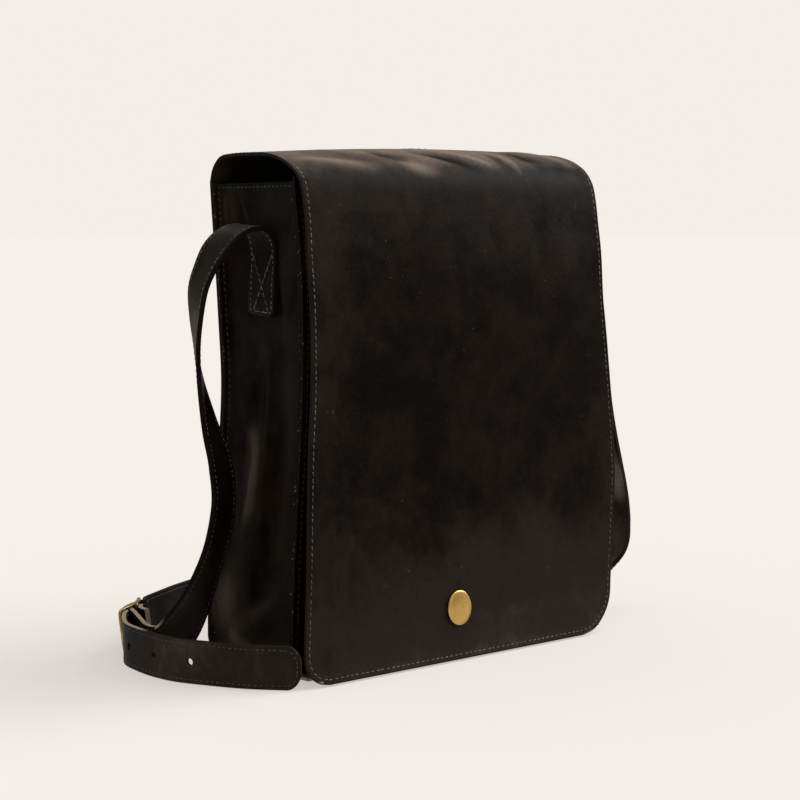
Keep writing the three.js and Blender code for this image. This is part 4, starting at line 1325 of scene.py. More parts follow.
@dataclass
class Body:
    """The leather body: walls, gusset, flap and their seams. Sizes are millimetres and turns are radians."""

    finishes: Finishes
    leather: float = 2.2
    gap: float = 0.3
    margin: float = 6.5
    front_foot: float = 12.0
    back_foot: float = 6.5
    mouth: float = 337.0
    front_height: float = 340.0
    base_corner: float = 12.0
    corner_left: float = 20.0
    corner_right: float = 32.0
    front_swell: float = 5.0
    back_swell: float = 6.0
    trim_top: float = 28.0
    trimmed: float = 0.35
    gusset_bend: float = 4.5
    bend_share: float = 0.65
    margin_tip: float = 0.4
    floor_gap: float = 0.1
    trim_run: float = 12.0
    laid_from: float = 0.8
    laid_full: float = 1.25
    back_top: float = 330.0
    dents_from: float = 330.0
    dents_full: float = 285.0
    folds_from: float = 338.0
    folds_full: float = 350.0
    drawn_from: float = 334.0
    drawn_full: float = 348.0
    fold_edge: float = 6.0
    fold_forward: float = 0.5
    fold_up: float = 0.85
    top_ridge: float = 1.8
    side_ridge: float = 2.5
    edge_sewing: float = 3.4
    seam_sewing: float = 4.4
    seam_column: int = 5
    hem_row: int = 1
    hem_end: int = 7
    wall_columns: int = 64
    wall_inset: float = 0.006
    foot_steps: int = 26
    wall_steps: int = 76
    fold_steps: int = 150
    lip_steps: int = 34
    lip_rows: int = 3
    side_steps: int = 110
    corner_steps: int = 15
    base_steps: int = 30
    gusset_columns: int = 56
    bend_steps: int = 7
    form: SmoothTable = field(default_factory=lambda: SmoothTable(BODY, "height"))
    flap: SmoothTable = field(default_factory=lambda: SmoothTable(FLAP))
    foot: SmoothTable = field(default_factory=lambda: SmoothTable(FOOT_ROWS))

    @property
    def ply(self) -> float:
        """From the middle of one wall to the middle of the wall sewn to it."""
        return self.leather + self.gap

    @property
    def across(self) -> Array:
        """Places across a wall, -1 to 1, as one row."""
        return edged(self.wall_columns, self.wall_inset)[None, :]

    def swell(self, across: Array, height: Array, most: float) -> Array:
        """How far a wall bows out: most (1 - across^2) sin(pi (height / full)^0.8)."""
        share = np.minimum(1, np.maximum(height, 0) / self.front_height) ** 0.8
        return most * (1 - across**2) * np.sin(np.pi * share)

    def wall_grid(self, plane: str, facing: float, foot_margin: float, most: float, top: float) -> Array:
        """A wall with its foot margin bent out onto the floor.

        A point is (edge to edge by across, plane + facing (foot share times margin + swell), height).

        Args:
            plane: the body's column for this wall.
            facing: -1 for the front and 1 for the back.
            foot_margin: how far the margin lies out on the floor.
            most: the wall's swell.
            top: height of its upper edge.

        Returns:
            Middle points from the foot up.
        """
        across, table = self.across, self.foot
        steps = np.linspace(0, len(FOOT_ROWS) - 1, self.foot_steps)[:, None]
        names = "height", "share", "half"
        height, share, half = (np.interp(steps, table.keys, table.columns[name]) for name in names)
        out = share * foot_margin + self.swell(across, height, most)
        y = self.form.at(plane, height) + facing * out
        foot = np.stack(np.broadcast_arrays(across * half, y, height), axis=2)
        level = np.linspace(self.trim_top, top, self.wall_steps)[:, None]
        left, right = self.form.at("left", level), self.form.at("right", level)
        x = left + (right - left) * (across + 1) / 2
        y = self.form.at(plane, level) + facing * self.swell(across, level, most)
        upper = np.stack(np.broadcast_arrays(x, y, level), axis=2)
        return np.vstack([foot, upper])

    def flap_points(self, along: Array, across: Array) -> Array:
        """Places on the flap.

        The profile gives y and z by the place along, the edges give x by the place across, and the crown
        1 - across^2 lifts the top, swells the front and fades to the edges, with dents and fold lines.

        Args:
            along: count of the flap table's rows.
            across: -1 at the left edge to 1 at the right one.

        Returns:
            Points, millimetres.
        """
        z = self.flap.at("z", along)
        front = np.asarray(along) > len(FLAP) / 2
        left = self.flap.at("left", along) + np.where(front, self.corner(self.corner_left, z), 0)
        right = self.flap.at("right", along) - np.where(front, self.corner(self.corner_right, z), 0)
        share, crown = (across + 1) / 2, 1 - across**2
        below = smooth_step(z, self.dents_from, self.dents_full)
        dent = np.where(front, dent_depth(FLAP_DENTS, across, z) * below, 0)
        x = left + (right - left) * share
        y = self.flap.at("y", along) - crown * self.flap.at("swell", along) + dent
        height = z + crown * self.flap.at("lift", along) + share * self.flap.at("tilt", along)
        above = smooth_step(z, self.folds_from, self.folds_full)
        fold = crease_rise(TOP_CREASES, x, y) * above * np.minimum(1, self.fold_edge * crown)
        forward, up = self.fold_forward * fold, self.fold_up * fold
        return np.stack(np.broadcast_arrays(x, y - forward, height + up), axis=-1)

    def corner(self, radius: float, z: Array) -> Array:
        """How far a rounded lower corner draws the edge in: r - sqrt(r^2 - (r - height)^2)."""
        short = np.maximum(0, radius - (z - FLAP_FOOT))
        return radius - np.sqrt(np.maximum(0, radius**2 - short**2))

    def back_and_flap_grid(self) -> Array:
        """The back wall from its foot, the fold over the top and the flap down the front.

        Returns:
            Middle points as one grid.
        """
        back = self.wall_grid("back", 1, self.back_foot, self.back_swell, self.back_top)
        last = len(FLAP) - 1
        fold = np.linspace(0, last - self.lip_rows, self.fold_steps)
        lip = last - self.lip_rows * np.cos(np.linspace(0, np.pi / 2, self.lip_steps))[1:]
        along = np.concatenate([fold, lip])[:, None]
        return np.vstack([back, self.flap_points(along, self.across)])

    def gusset_grid(self) -> Array:
        """The strip that makes both sides and the bottom.

        Its path runs down the left side, round the base and up the right side. At each place it goes from the
        back margin's tip, round the seam, across the wall and out to the front margin's tip.

        Returns:
            Middle points, a row for each place of the path.
        """
        floor = self.leather / 2
        bend = floor + self.base_corner
        foot = float(self.form.at("right", bend)) - self.margin
        height = np.linspace(self.mouth, bend, self.side_steps)
        turn = np.linspace(0, np.pi / 2, self.corner_steps)[1:]
        straight = foot - self.base_corner
        run = np.linspace(-straight, 0, self.base_steps)[1:]
        x = np.concatenate([
            self.form.at("left", height) + self.margin, -foot + self.base_corner * (1 - np.cos(turn)), run])
        z = np.concatenate([height, bend - self.base_corner * np.sin(turn), np.full(len(run), floor)])
        out_x = np.concatenate([np.full(len(height), -1.0), -np.cos(turn), np.zeros(len(run))])
        out_z = np.concatenate([np.zeros(len(height)), -np.sin(turn), np.full(len(run), -1.0)])
        sides = self.trimmed + (1 - self.trimmed) * smooth_step(height, bend, self.trim_top)
        under = self.trimmed + (1 - self.trimmed) * smooth_step(run, -straight, -straight + self.trim_run)
        margin = np.concatenate([sides, np.full(len(turn), self.trimmed), under])
        lying = smooth_step(turn, self.laid_from, self.laid_full)
        laid = np.concatenate([np.zeros(len(height)), lying, np.ones(len(run))])
        left = np.stack([x, out_x, z, out_z, margin, laid])
        right = left[:, -2::-1].copy()
        right[0], right[1] = -right[0], -right[1]
        side = right[2] > bend
        right[0, side] = self.form.at("right", right[2, side]) - self.margin
        x, out_x, z, out_z, margin, laid = np.concatenate([left, right], axis=1)
        return self.gusset_rows(x, z, np.stack([out_x, 0 * x, out_z], axis=1), margin, laid)

    def gusset_rows(self, x: Array, z: Array, out: Array, margin: Array, laid: Array) -> Array:
        """Carries the gusset's section along its path.

        Args:
            x: of the wall's middle at each place.
            z: its height.
            out: the way out of the bag.
            margin: share of the seam margin that is left.
            laid: 1 where that margin lies on the floor.

        Returns:
            Middle points, rows by columns.
        """
        middle = np.stack([x, 0 * x, z], axis=1)
        back = self.form.at("back", z) - self.ply
        front = self.form.at("front", z) + self.ply
        columns = np.linspace(-1, 1, self.gusset_columns)[None, :]
        reaches = self.back_foot, self.front_foot
        lengths = [self.margin_length(z, out, margin, laid, reach) for reach in reaches]
        bends = [np.minimum(self.gusset_bend, self.bend_share * length) for length in lengths]
        low, high = (back - bends[0])[:, None], (front + bends[1])[:, None]
        y = low + (high - low) * (columns + 1) / 2
        soft = (1 - columns**8) * (1 - laid[:, None])
        depth = dent_depth(SIDE_DENTS, columns, z[:, None]) - crease_rise(SIDE_CREASES, y, z[:, None])
        inner = middle[:, None] - out[:, None] * (depth * soft)[..., None]
        inner[..., 1] = y
        middle_back, middle_front = middle.copy(), middle.copy()
        middle_back[:, 1], middle_front[:, 1] = back, front
        grids = [self.margin_columns(middle_back, out, laid, 1, lengths[0], bends[0]), inner,
                 self.margin_columns(middle_front, out, laid, -1, lengths[1], bends[1])[:, ::-1]]
        return np.concatenate(grids, axis=1)

    def margin_length(self, z: Array, out: Array, margin: Array, laid: Array, reach: float) -> Array:
        """How far a seam margin goes from the wall: its share of the full margin, and not through the floor.

        Args:
            z: the wall's height at each place.
            out: the way out of the bag there.
            margin: share of the margin that is left.
            laid: 1 where it lies on the floor.
            reach: its length on the floor.

        Returns:
            Millimetres at each place.
        """
        length = margin * (self.margin + (reach + self.ply - self.margin) * laid)
        down = np.maximum(-out[:, 2] * (1 - laid), 0.02)
        return np.minimum(length, (z - self.floor_gap) / down)

    def margin_columns(
        self, corner: Array, out: Array, laid: Array, facing: float, length: Array, bend: Array
    ) -> Array:
        """One seam margin of the gusset, from its tip round the bend.

        The bend is a quarter turn: corner + bend (way - sideways + sideways cos(t) - way sin(t)).

        Args:
            corner: where the wall would meet the seam's plane.
            out: the way out of the bag there.
            laid: 1 where the margin lies on the floor.
            facing: 1 for the back and -1 for the front.
            length: from the wall to the margin's tip.
            bend: radius of the bend.

        Returns:
            Points, a row for each place and a column for each step in.
        """
        sideways = np.array([0.0, facing, 0.0])
        way = unit(out * (1 - laid[:, None]) + sideways * laid[:, None])
        steps = length, length - self.margin_tip, (length + bend) / 2
        points = [corner + way * step[:, None] for step in steps]
        for turn in np.linspace(0, np.pi / 2, self.bend_steps)[:-1]:
            turned = sideways * (math.cos(turn) - 1) + way * (1 - math.sin(turn))
            points.append(corner + bend[:, None] * turned)
        return np.stack(points, axis=1)

    def top_drawn(self, grid: Array) -> Array:
        """How far the hide is drawn on the fold over the top.

        Args:
            grid: middle points of the back and flap.

        Returns:
            1 on a full ridge and -1 in a full furrow.
        """
        x, y, z = np.moveaxis(grid, 2, 0)
        above = smooth_step(z, self.drawn_from, self.drawn_full)
        return crease_rise(TOP_CREASES, x, y) * above / self.top_ridge

    def side_drawn(self, grid: Array) -> Array:
        """How far the hide is drawn on the side walls, 1 on a full ridge and -1 in a full furrow."""
        _, y, z = np.moveaxis(grid, 2, 0)
        return crease_rise(SIDE_CREASES, y, z) / self.side_ridge

    def build(self) -> None:
        """Makes the walls, the gusset and their stitches."""
        finish = self.finishes
        back_flap = self.back_and_flap_grid()
        front = self.wall_grid("front", -1, self.front_foot, self.front_swell, self.front_height)[::-1]
        gusset = self.gusset_grid()
        top, sides = self.top_drawn(back_flap), self.side_drawn(gusset)
        walls = (
            ("back_and_flap", back_flap, finish.flap, finish.flap_edge, "flap_leather", top),
            ("front_panel", front, finish.front, finish.body_edge, "front_leather", None),
            ("gusset", gusset, finish.gusset, finish.body_edge, "gusset_leather", sides),
        )
        for node, grid, leather, edge, slot, drawn in walls:
            parts = MeshParts()
            add_wall(parts, grid, self.leather, SINGLE_EDGE, drawn=drawn)
            settle(parts.build(node + "_leather", (leather, edge, finish.flesh)), slot, node)
        self.sew(back_flap, front, gusset)

    def sew(self, back_flap: Array, front: Array, gusset: Array) -> None:
        """Sews the flap's edge, both seams and the gusset's hems.

        Args:
            back_flap: grid of the back and flap.
            front: grid of the front panel.
            gusset: grid of the gusset.
        """
        flap_thread, seam_thread, front_thread = MeshParts(), MeshParts(), MeshParts()
        sewing = Sewing()
        foot = np.arange(2, back_flap.shape[1] - 2)
        hems = (
            (flap_thread, back_flap, self.edge_sewing, hem_order(back_flap)),
            (seam_thread, back_flap, self.edge_sewing, foot),
            (front_thread, front, self.seam_sewing, hem_order(front)),
        )
        for thread, grid, inset, places in hems:
            add_stitches(thread, inset_line(grid, Face.MINUS, self.leather, inset, places), sewing)
        out = -surface_normals(gusset)
        face = gusset + out * self.leather / 2
        for column in (self.seam_column, -1 - self.seam_column):
            side = np.flatnonzero(gusset[:, column, 2] > self.trim_top)
            for part in np.split(side, np.flatnonzero(np.diff(side) > 1) + 1):
                add_stitches(seam_thread, StitchLine(face[part, column], out[part, column]), sewing)
        hem = slice(self.hem_end, -self.hem_end)
        for row in (self.hem_row, -1 - self.hem_row):
            add_stitches(seam_thread, StitchLine(face[row, hem], out[row, hem]), sewing)
        settle(flap_thread.build("flap_stitches", (self.finishes.thread,)), "flap_leather")
        settle(seam_thread.build("seam_stitches", (self.finishes.seam_thread,)), "gusset_leather")
        settle(front_thread.build("front_stitches", (self.finishes.front_thread,)), "front_leather")


# The straps and the buckle


@dataclass
class StrapAndBuckle:
    """Both straps, their stitches, and the brass buckle between them. Sizes are millimetres."""

    finishes: Finishes
    width: float = 30.0
    thick: float = 3.2
    gap: float = 0.3
    row_step: float = 2.2
    roll_radius: float = 16.0
    roll_run: float = 24.0
    roll_x: float = 208.6
    roll_y: float = -9.8
    hole_radius: float = 2.5
    hole_step: float = 33.0
    first_hole: float = 79.0
    hole_count: int = 4
    punch_turn: float = 0.03
    punch_reach: float = 5.0
    sewn_corner: float = 4.0
    sewn_slant: float = 0.06
    sewn_row: int = 8
    unsewn_rows: int = 18
    box_height: float = 44.0
    tip_length: float = 10.0
    tip_blunt: float = 0.28
    tip_steps: int = 14
    sewing_inset: float = 3.0
    floor_gap: float = 0.1
    bar: float = 3.0
    bar_gap: float = 0.65
    end_gap: float = 1.2
    bow_low: float = 0.56
    bow_high: float = 0.9
    rail: float = 1.9
    rail_gap: float = 0.4
    half: float = 23.0
    arch: float = 5.0
    squareness: float = 0.2
    frame_steps: int = 160
    bar_steps: int = 12
    prong: float = 1.1
    prong_gap: float = 0.75
    prong_tip: float = 0.8
    prong_past: float = 1.2
    prong_taper: float = 0.45
    taper_from: float = 0.86
    prong_hole: float = 7.6
    prong_stretch: float = 1.5
    prong_reach: float = 6.0
    slot_height: float = 5.4
    middle_bar: tuple[float, float] = (-168.9, 107.8)
    strap_way: tuple[float, float] = (0.75, 0.661)
    lean: float = math.radians(7)

    @property
    def on_edge(self) -> float:
        """Height of the strap's middle where it stands on its edge."""
        return self.width / 2 + self.floor_gap

    @property
    def tall(self) -> float:
        """Height of the buckle's frame."""
        return self.width + 2 * self.rail_gap + 2 * self.rail

    @property
    def wrap(self) -> float:
        """Radius of the strap's middle round the bar."""
        return self.bar / 2 + self.bar_gap + self.thick / 2

    @property
    def long_out(self) -> float:
        """How far out the long strap passes the bar."""
        return self.wrap + self.thick + self.gap

    @property
    def under_end(self) -> float:
        """How far out the long strap passes under an end bar."""
        return self.arch - self.bar / 2 - self.end_gap - self.thick / 2

    @property
    def axes(self) -> tuple[Array, Array, Array]:
        """The buckle's own ways; its top leans out.

        Returns:
            Unit vectors along the strap, out and up.
        """
        along = unit(np.array([*self.strap_way, 0.0]))
        level = np.array([-along[1], along[0], 0.0])
        upright = np.array([0.0, 0.0, 1.0])
        out = level * math.cos(self.lean) - upright * math.sin(self.lean)
        return along, out, level * math.sin(self.lean) + upright * math.cos(self.lean)

    def at_buckle(self, along: Array, out: Array, height: Array | float = 0.0) -> Array:
        """Places by the buckle's own ways, from the middle of its middle bar.

        Args:
            along: millimetres along the strap.
            out: out of the buckle.
            height: up.

        Returns:
            Points, millimetres.
        """
        dip = (self.arch + self.bar / 2) * math.sin(self.lean)
        middle = np.array([*self.middle_bar, self.floor_gap + dip + self.tall / 2 * math.cos(self.lean)])
        shares = np.broadcast_arrays(along, out, height)
        return middle + sum(share[..., None] * axis for share, axis in zip(shares, self.axes))

    def sewn_arch(self, side: Side) -> Array:
        """Stations of a sewn end and its arch.

        Args:
            side: the side wall it is sewn to.

        Returns:
            Middle and way across, six numbers a row.
        """
        rows = np.array(SEWN_ARCH, float)
        across = unit(np.array([0.0, 1.0, self.sewn_slant]))
        places = rows * np.array([side.value, 1.0, 1.0])
        return np.hstack([places, np.broadcast_to(across, places.shape)])

    def in_buckle(self, places: Array) -> Array:
        """Stations of strap that leans with the buckle at places."""
        return np.hstack([places, np.broadcast_to(-self.axes[2], places.shape)])

    def on_floor(self, rows: Sequence[FloorRow]) -> Array:
        """Stations of strap that stands on the floor.

        Args:
            rows: its places.

        Returns:
            Middle and way across, six numbers a row.
        """
        table = np.array(rows, float)
        down = np.array([0.0, 0.0, -1.0])
        across = unit(down - table[:, 3:] * (self.axes[2] + down))
        return np.hstack([table[:, :3] + np.array([0.0, 0.0, self.on_edge]), across])

    def run(self, stations: Array) -> tuple[Array, Array]:
        """An even run of a strap through stations.

        Args:
            stations: middle and way across, six numbers a row.

        Returns:
            Middles and unit ways across, a fixed step apart.
        """
        middles, slopes = spline(stations[:, :3], 24, 0.5)
        ways, _ = spline(stations[:, 3:], 24, 0.0)
        tangent = unit(slopes)
        across = unit(ways - tangent * np.sum(ways * tangent, axis=1, keepdims=True))
        lengths = lengths_along(middles)
        wanted = np.linspace(0, lengths[-1], max(2, round(lengths[-1] / self.row_step)))
        return resampled(lengths, middles, wanted), unit(resampled(lengths, across, wanted))

    def columns(self) -> Array:
        """Offsets across a strap from its middle."""
        return edged(11, 0.05) * self.width / 2

    def sewn_end(self, middles: Array) -> Array:
        """Offsets across a strap, drawn in to small round corners over the first few millimetres.

        Args:
            middles: the strap's middle at each row.

        Returns:
            Offsets, rows by columns.
        """
        short = np.maximum(0, 1 - lengths_along(middles) / self.sewn_corner)
        share = 1 - (1 - np.sqrt(1 - short**2)) * self.sewn_corner / (self.width / 2)
        return share[:, None] * self.columns()[None, :]

    def short_grid(self) -> Array:
        """The short strap: sewn end, arch, hang, floor, and the fold round the buckle's middle bar.

        Returns:
            Middle points, rows by columns.
        """
        turn = np.linspace(np.pi / 2, -np.pi / 2, 7)
        round_bar = self.wrap * np.stack([np.cos(turn), np.sin(turn)], axis=1)
        along, out = np.vstack([FOLD_IN, round_bar, FOLD_BACK]).T
        table = np.array(SHORT_STRAP, float)
        hang = np.hstack([table[:, :3], unit(table[:, 3:])])
        folded = self.in_buckle(self.at_buckle(along, out))
        middles, across = self.run(np.vstack([self.sewn_arch(Side.LEFT), hang, folded]))
        return middles[:, None] + across[:, None] * self.sewn_end(middles)[..., None]

    def roll_points(self, length: Array, offset: Array) -> Array:
        """Places on the strap's soft fold, where it rolls half a turn about a slanting axis.

        With u = (length - offset) / sqrt 2 round the roll and v = (length + offset) / sqrt 2 along its axis,
        the point is the roll's middle + radius out at angle u / r + v along the axis, and it goes straight on
        past either end.

        Args:
            length: along the strap from the roll's start.
            offset: across it from its middle.

        Returns:
            Points, millimetres.
        """
        axis = np.array([0.0, 1.0, -1.0]) / math.sqrt(2)
        outward = np.array([1.0, 0.0, 0.0])
        onward = np.cross(axis, outward)
        around, beside = (length - offset) / math.sqrt(2), (length + offset) / math.sqrt(2)
        angle = np.clip(around / self.roll_radius, 0, np.pi)[..., None]
        radius = outward * np.cos(angle) + onward * np.sin(angle)
        way = onward * np.cos(angle) - outward * np.sin(angle)
        past = around[..., None] - angle * self.roll_radius
        start = np.array([self.roll_x, self.roll_y, self.on_edge + np.pi * self.roll_radius / math.sqrt(2)])
        return start + (radius - outward) * self.roll_radius + way * past + axis * beside[..., None]

    def long_grid(self) -> Array:
        """The long strap: sewn end, arch, hang, soft fold, the way behind, the buckle and the free end.

        Returns:
            Middle points, rows by columns.
        """
        columns = self.columns()
        full = np.pi * self.roll_radius * math.sqrt(2)
        lengths = np.arange(-self.roll_run, full + self.roll_run + 0.1, self.row_step)
        roll = self.roll_points(lengths[:, None], columns[None, :])
        ends = np.array([lengths[0], lengths[-1]])
        centres = self.roll_points(ends, np.zeros(2))
        hang = np.array(LONG_HANG, float)
        first = np.vstack([self.sewn_arch(Side.RIGHT), hang, [*centres[0], 0, 1, 0]])
        under, over = self.under_end, self.long_out
        rising = [(25, under), (21, under), (14, self.bow_low * over), (7, self.bow_high * over)]
        falling = [(-along, out) for along, out in reversed(rising)]
        through = np.array([(31, 2.2), *rising, (0, over), *falling])
        buckled = self.in_buckle(self.at_buckle(through[:, 0], through[:, 1]))
        second = np.vstack([
            [*centres[1], 0, 0, -1], self.on_floor(LONG_LAID), buckled, self.on_floor(FREE_END)])
        hanging, hanging_across = self.run(first)
        laid, laid_across = self.tip_rows(*self.run(second))
        share = self.tip_share(laid)
        upper = hanging[:, None] + hanging_across[:, None] * self.sewn_end(hanging)[..., None]
        lower = laid[:, None] + laid_across[:, None] * (share[:, None] * columns[None, :])[..., None]
        return np.vstack([upper[:-1], roll, lower[1:]])

    def tip_rows(self, middles: Array, across: Array) -> tuple[Array, Array]:
        """Adds rows at the rounded end of the free end, closer together towards its tip.

        Args:
            middles: the strap's middle at each row.
            across: its way across there.

        Returns:
            Both, with the added rows.
        """
        lengths = lengths_along(middles)
        body = lengths[lengths < lengths[-1] - self.tip_length - 1]
        close = lengths[-1] - self.tip_length * np.cos(np.linspace(0, np.pi / 2, self.tip_steps))
        wanted = np.concatenate([body, close])
        return resampled(lengths, middles, wanted), unit(resampled(lengths, across, wanted))

    def tip_share(self, middles: Array) -> Array:
        """Share of the full width: sqrt(1 - q^2 (1 - blunt^2)), q rising to 1 at the tip.

        Args:
            middles: the strap's middle at each row.

        Returns:
            The share at each row.
        """
        lengths = lengths_along(middles)
        q = np.maximum(0, 1 - (lengths[-1] - lengths) / self.tip_length)
        return np.sqrt(1 - q**2 * (1 - self.tip_blunt**2))

    def strap(
        self, name: str, grid: Array, cutters: MeshParts, edge: bpy.types.Material, node: str
    ) -> None:
        """Makes one strap and cuts its holes.

        Args:
            name: the piece's name.
            grid: its middle points.
            cutters: closed shells to cut away.
            edge: finish of its cut edge.
            node: the solid that it replaces.
        """
        parts = MeshParts()
        add_wall(parts, grid, self.thick, DOUBLE_EDGE, (0, 0, 1))
        finish = self.finishes
        piece = parts.build(name, (finish.strap, edge))
        cutter = cutters.build(name + "_cutter", (finish.strap,))
        cut = piece.modifiers.new("holes", "BOOLEAN")
        cut.operation, cut.solver, cut.object = "DIFFERENCE", "EXACT", cutter
        cut.material_mode = "TRANSFER"
        graph = bpy.context.evaluated_depsgraph_get()
        done = bpy.data.meshes.new_from_object(piece.evaluated_get(graph))
        piece.modifiers.clear()
        piece.data = done
        done.name = name
        bpy.data.objects.remove(cutter)
        settle(piece, name, node)

    def punches(self, grid: Array) -> MeshParts:
        """Round punches for the free end's holes and the prong's hole.

        Args:
            grid: the long strap's middle points.

        Returns:
            Closed tubes across the strap.
        """
        middle = grid[:, grid.shape[1] // 2]
        lengths = lengths_along(middle)
        wanted = lengths[-1] - self.first_hole - self.hole_step * np.arange(self.hole_count)
        centres = resampled(lengths, middle, wanted)
        tangent = unit(resampled(lengths, middle, wanted + 1) - resampled(lengths, middle, wanted - 1))
        parts = MeshParts()
        up = np.array([0.0, 0.0, 1.0])
        for centre, way in zip(centres, tangent):
            normal = np.cross(way, up)
            path = centre + normal * np.array([[-self.punch_reach], [self.punch_reach]])
            radii = self.punch_radii(way * self.hole_radius, up * self.hole_radius)
            add_tube(parts, path, *radii, closed=False)
        reach = self.long_out + np.array([-self.prong_reach, self.prong_reach])
        ends = self.at_buckle(np.full(2, self.prong_hole), reach)
        along, _, high = (axis * self.hole_radius for axis in self.axes)
        add_tube(parts, ends, *self.punch_radii(along * self.prong_stretch, -high), closed=False)
        return parts

    def punch_radii(self, first: Array, second: Array) -> tuple[Array, Array]:
        """A punch's radii, turned a little so that its corners are off the strap's middle line.

        Args:
            first: one radius.
            second: the radius square to it.

        Returns:
            Both turned radii, at each end of the punch.
        """
        cosine, sine = math.cos(self.punch_turn), math.sin(self.punch_turn)
        turned = first * cosine + second * sine, second * cosine - first * sine
        return np.tile(turned[0], (2, 1)), np.tile(turned[1], (2, 1))

    def slot_cut(self) -> MeshParts:
        """A block that cuts the prong's slot in the short strap's fold.

        Returns:
            Its closed shell.
        """
        wide, deep, tall = self.wrap + 3, 2 * self.wrap, self.slot_height / 2
        signs = np.array([(x, y, z) for z in (-1, 1) for y in (-1, 1) for x in (-1, 1)], float)
        points = self.at_buckle(2 + signs[:, 0] * wide, signs[:, 1] * deep, signs[:, 2] * tall)
        quads = np.array([
            (0, 2, 3, 1), (4, 5, 7, 6), (0, 1, 5, 4), (2, 6, 7, 3), (0, 4, 6, 2), (1, 3, 7, 5)])
        parts = MeshParts()
        parts.add(points, quads)
        return parts

    def sew(self, name: str, grid: Array, slot: str) -> None:
        """Sews both faces of a strap along its edges, and a crossed box on its sewn end.

        Args:
            name: the piece's name.
            grid: middle points of the rows to sew.
            slot: a slot name, handed on to settle.
        """
        parts, sewing = MeshParts(), Sewing(3.9, 2.7, 0.66, 0.5)
        for face in Face:
            line = inset_line(grid, face, self.thick, self.sewing_inset, hem_order(grid))
            add_stitches(parts, line, sewing)
        self.crossed_box(parts, grid, Sewing(5.0, 4.0))
        settle(parts.build(name, (self.finishes.strap_thread,)), slot)

    def crossed_box(self, parts: MeshParts, grid: Array, sewing: Sewing) -> None:
        """The box's foot and its two crossing lines on a strap's sewn end.

        Args:
            parts: takes the stitches.
            grid: the strap's middle points.
            sewing: their sizes.
        """
        column = grid.shape[1] // 2 - 1
        normal = surface_normals(grid)[self.sewn_row, column]
        out = normal * np.sign(normal[0] * grid[self.sewn_row, column, 0])
        top = np.searchsorted(lengths_along(grid[:, column]), self.box_height)
        reach = 1 - 2 * self.sewing_inset / self.width
        ends, tops = (
            [(row[0] + row[-1] + side * reach * (row[-1] - row[0])) / 2 for side in (-1, 1)]
            for row in (grid[0], grid[top])
        )
        rise = unit(tops[0] - ends[0])
        ends = [end + rise * self.sewing_inset for end in ends]
        for start, stop in ((ends[0], ends[1]), (ends[0], tops[1]), (ends[1], tops[0])):
            share = np.linspace(0, 1, 12)[:, None]
            points = start + (stop - start) * share + out * self.thick / 2
            add_stitches(parts, StitchLine(points, np.broadcast_to(out, points.shape)), sewing)

    def buckle(self) -> None:
        """The bent brass frame with its middle bar, and the prong."""
        parts = MeshParts()
        turn = np.linspace(0, 2 * np.pi, self.frame_steps, endpoint=False)
        wide, high = self.half, (self.tall - self.rail) / 2
        along = wide * np.sign(np.cos(turn)) * np.abs(np.cos(turn)) ** self.squareness
        up = high * np.sign(np.sin(turn)) * np.abs(np.sin(turn)) ** self.squareness
        bend = self.arch * (along / self.half) ** 2
        centres = self.at_buckle(along, bend, up)
        tangent = unit(np.roll(centres, -1, axis=0) - np.roll(centres, 1, axis=0))
        side, out, _ = self.axes
        outs = unit(out - tangent * np.sum(out * tangent, axis=1, keepdims=True))
        inwards = np.cross(outs, tangent)
        upright = np.abs(tangent[:, 2:]) ** 2
        breadth = self.rail + (self.bar - self.rail) * upright
        add_tube(parts, centres, inwards * breadth / 2, outs * self.bar / 2, True)
        flat = np.zeros(self.bar_steps)
        bar = self.at_buckle(flat, flat, np.linspace(-high, high, self.bar_steps))
        ways = (np.broadcast_to(axis * self.bar / 2, bar.shape) for axis in (side, out))
        add_tube(parts, bar, *ways, False)
        settle(parts.build("buckle_brass", (self.finishes.buckle,)), "buckle_brass", "buckle_frame")
        self.make_prong()

    def make_prong(self) -> None:
        """The prong: an open loop round the bar, then an arm through its hole and onto the end bar."""
        loop = self.bar / 2 + self.prong_gap + self.prong
        angle = np.linspace(1.25 * np.pi, 0.15 * np.pi, 10) - np.pi / 2 - 0.35
        tip = self.half + self.prong_past, self.arch + self.bar / 2 + self.prong_tip + self.prong
        round_bar = -loop * np.stack([np.cos(angle), np.sin(angle)], axis=1)
        along, out = np.vstack([round_bar, PRONG_ARM, tip]).T
        path, slopes = spline(self.at_buckle(along, out), 8, 0.5)
        tangent = unit(slopes)
        up = np.broadcast_to(self.axes[2], path.shape)
        side = np.cross(up, tangent)
        share = np.linspace(0, 1, len(path))
        girth = self.prong * (1 - self.prong_taper * smooth_step(share, self.taper_from, 1.0))[:, None]
        parts = MeshParts()
        add_tube(parts, path, side * girth, up * girth, False)
        settle(parts.build("prong_brass", (self.finishes.buckle,)), "prong_brass", "buckle_prong")

    def build(self) -> None:
        """Makes both straps, sews them and makes the buckle."""
        short, long = self.short_grid(), self.long_grid()
        short_edge, long_edge = self.finishes.short_edge, self.finishes.long_edge
        self.strap("short_strap_leather", short, self.slot_cut(), short_edge, "strap_buckle_end")
        self.strap("long_strap_leather", long, self.punches(long), long_edge, "strap_long_end")
        self.sew("short_strap_stitches", short[:-self.unsewn_rows], "short_strap_leather")
        self.sew("long_strap_stitches", long, "long_strap_leather")
        self.buckle()


# The closure


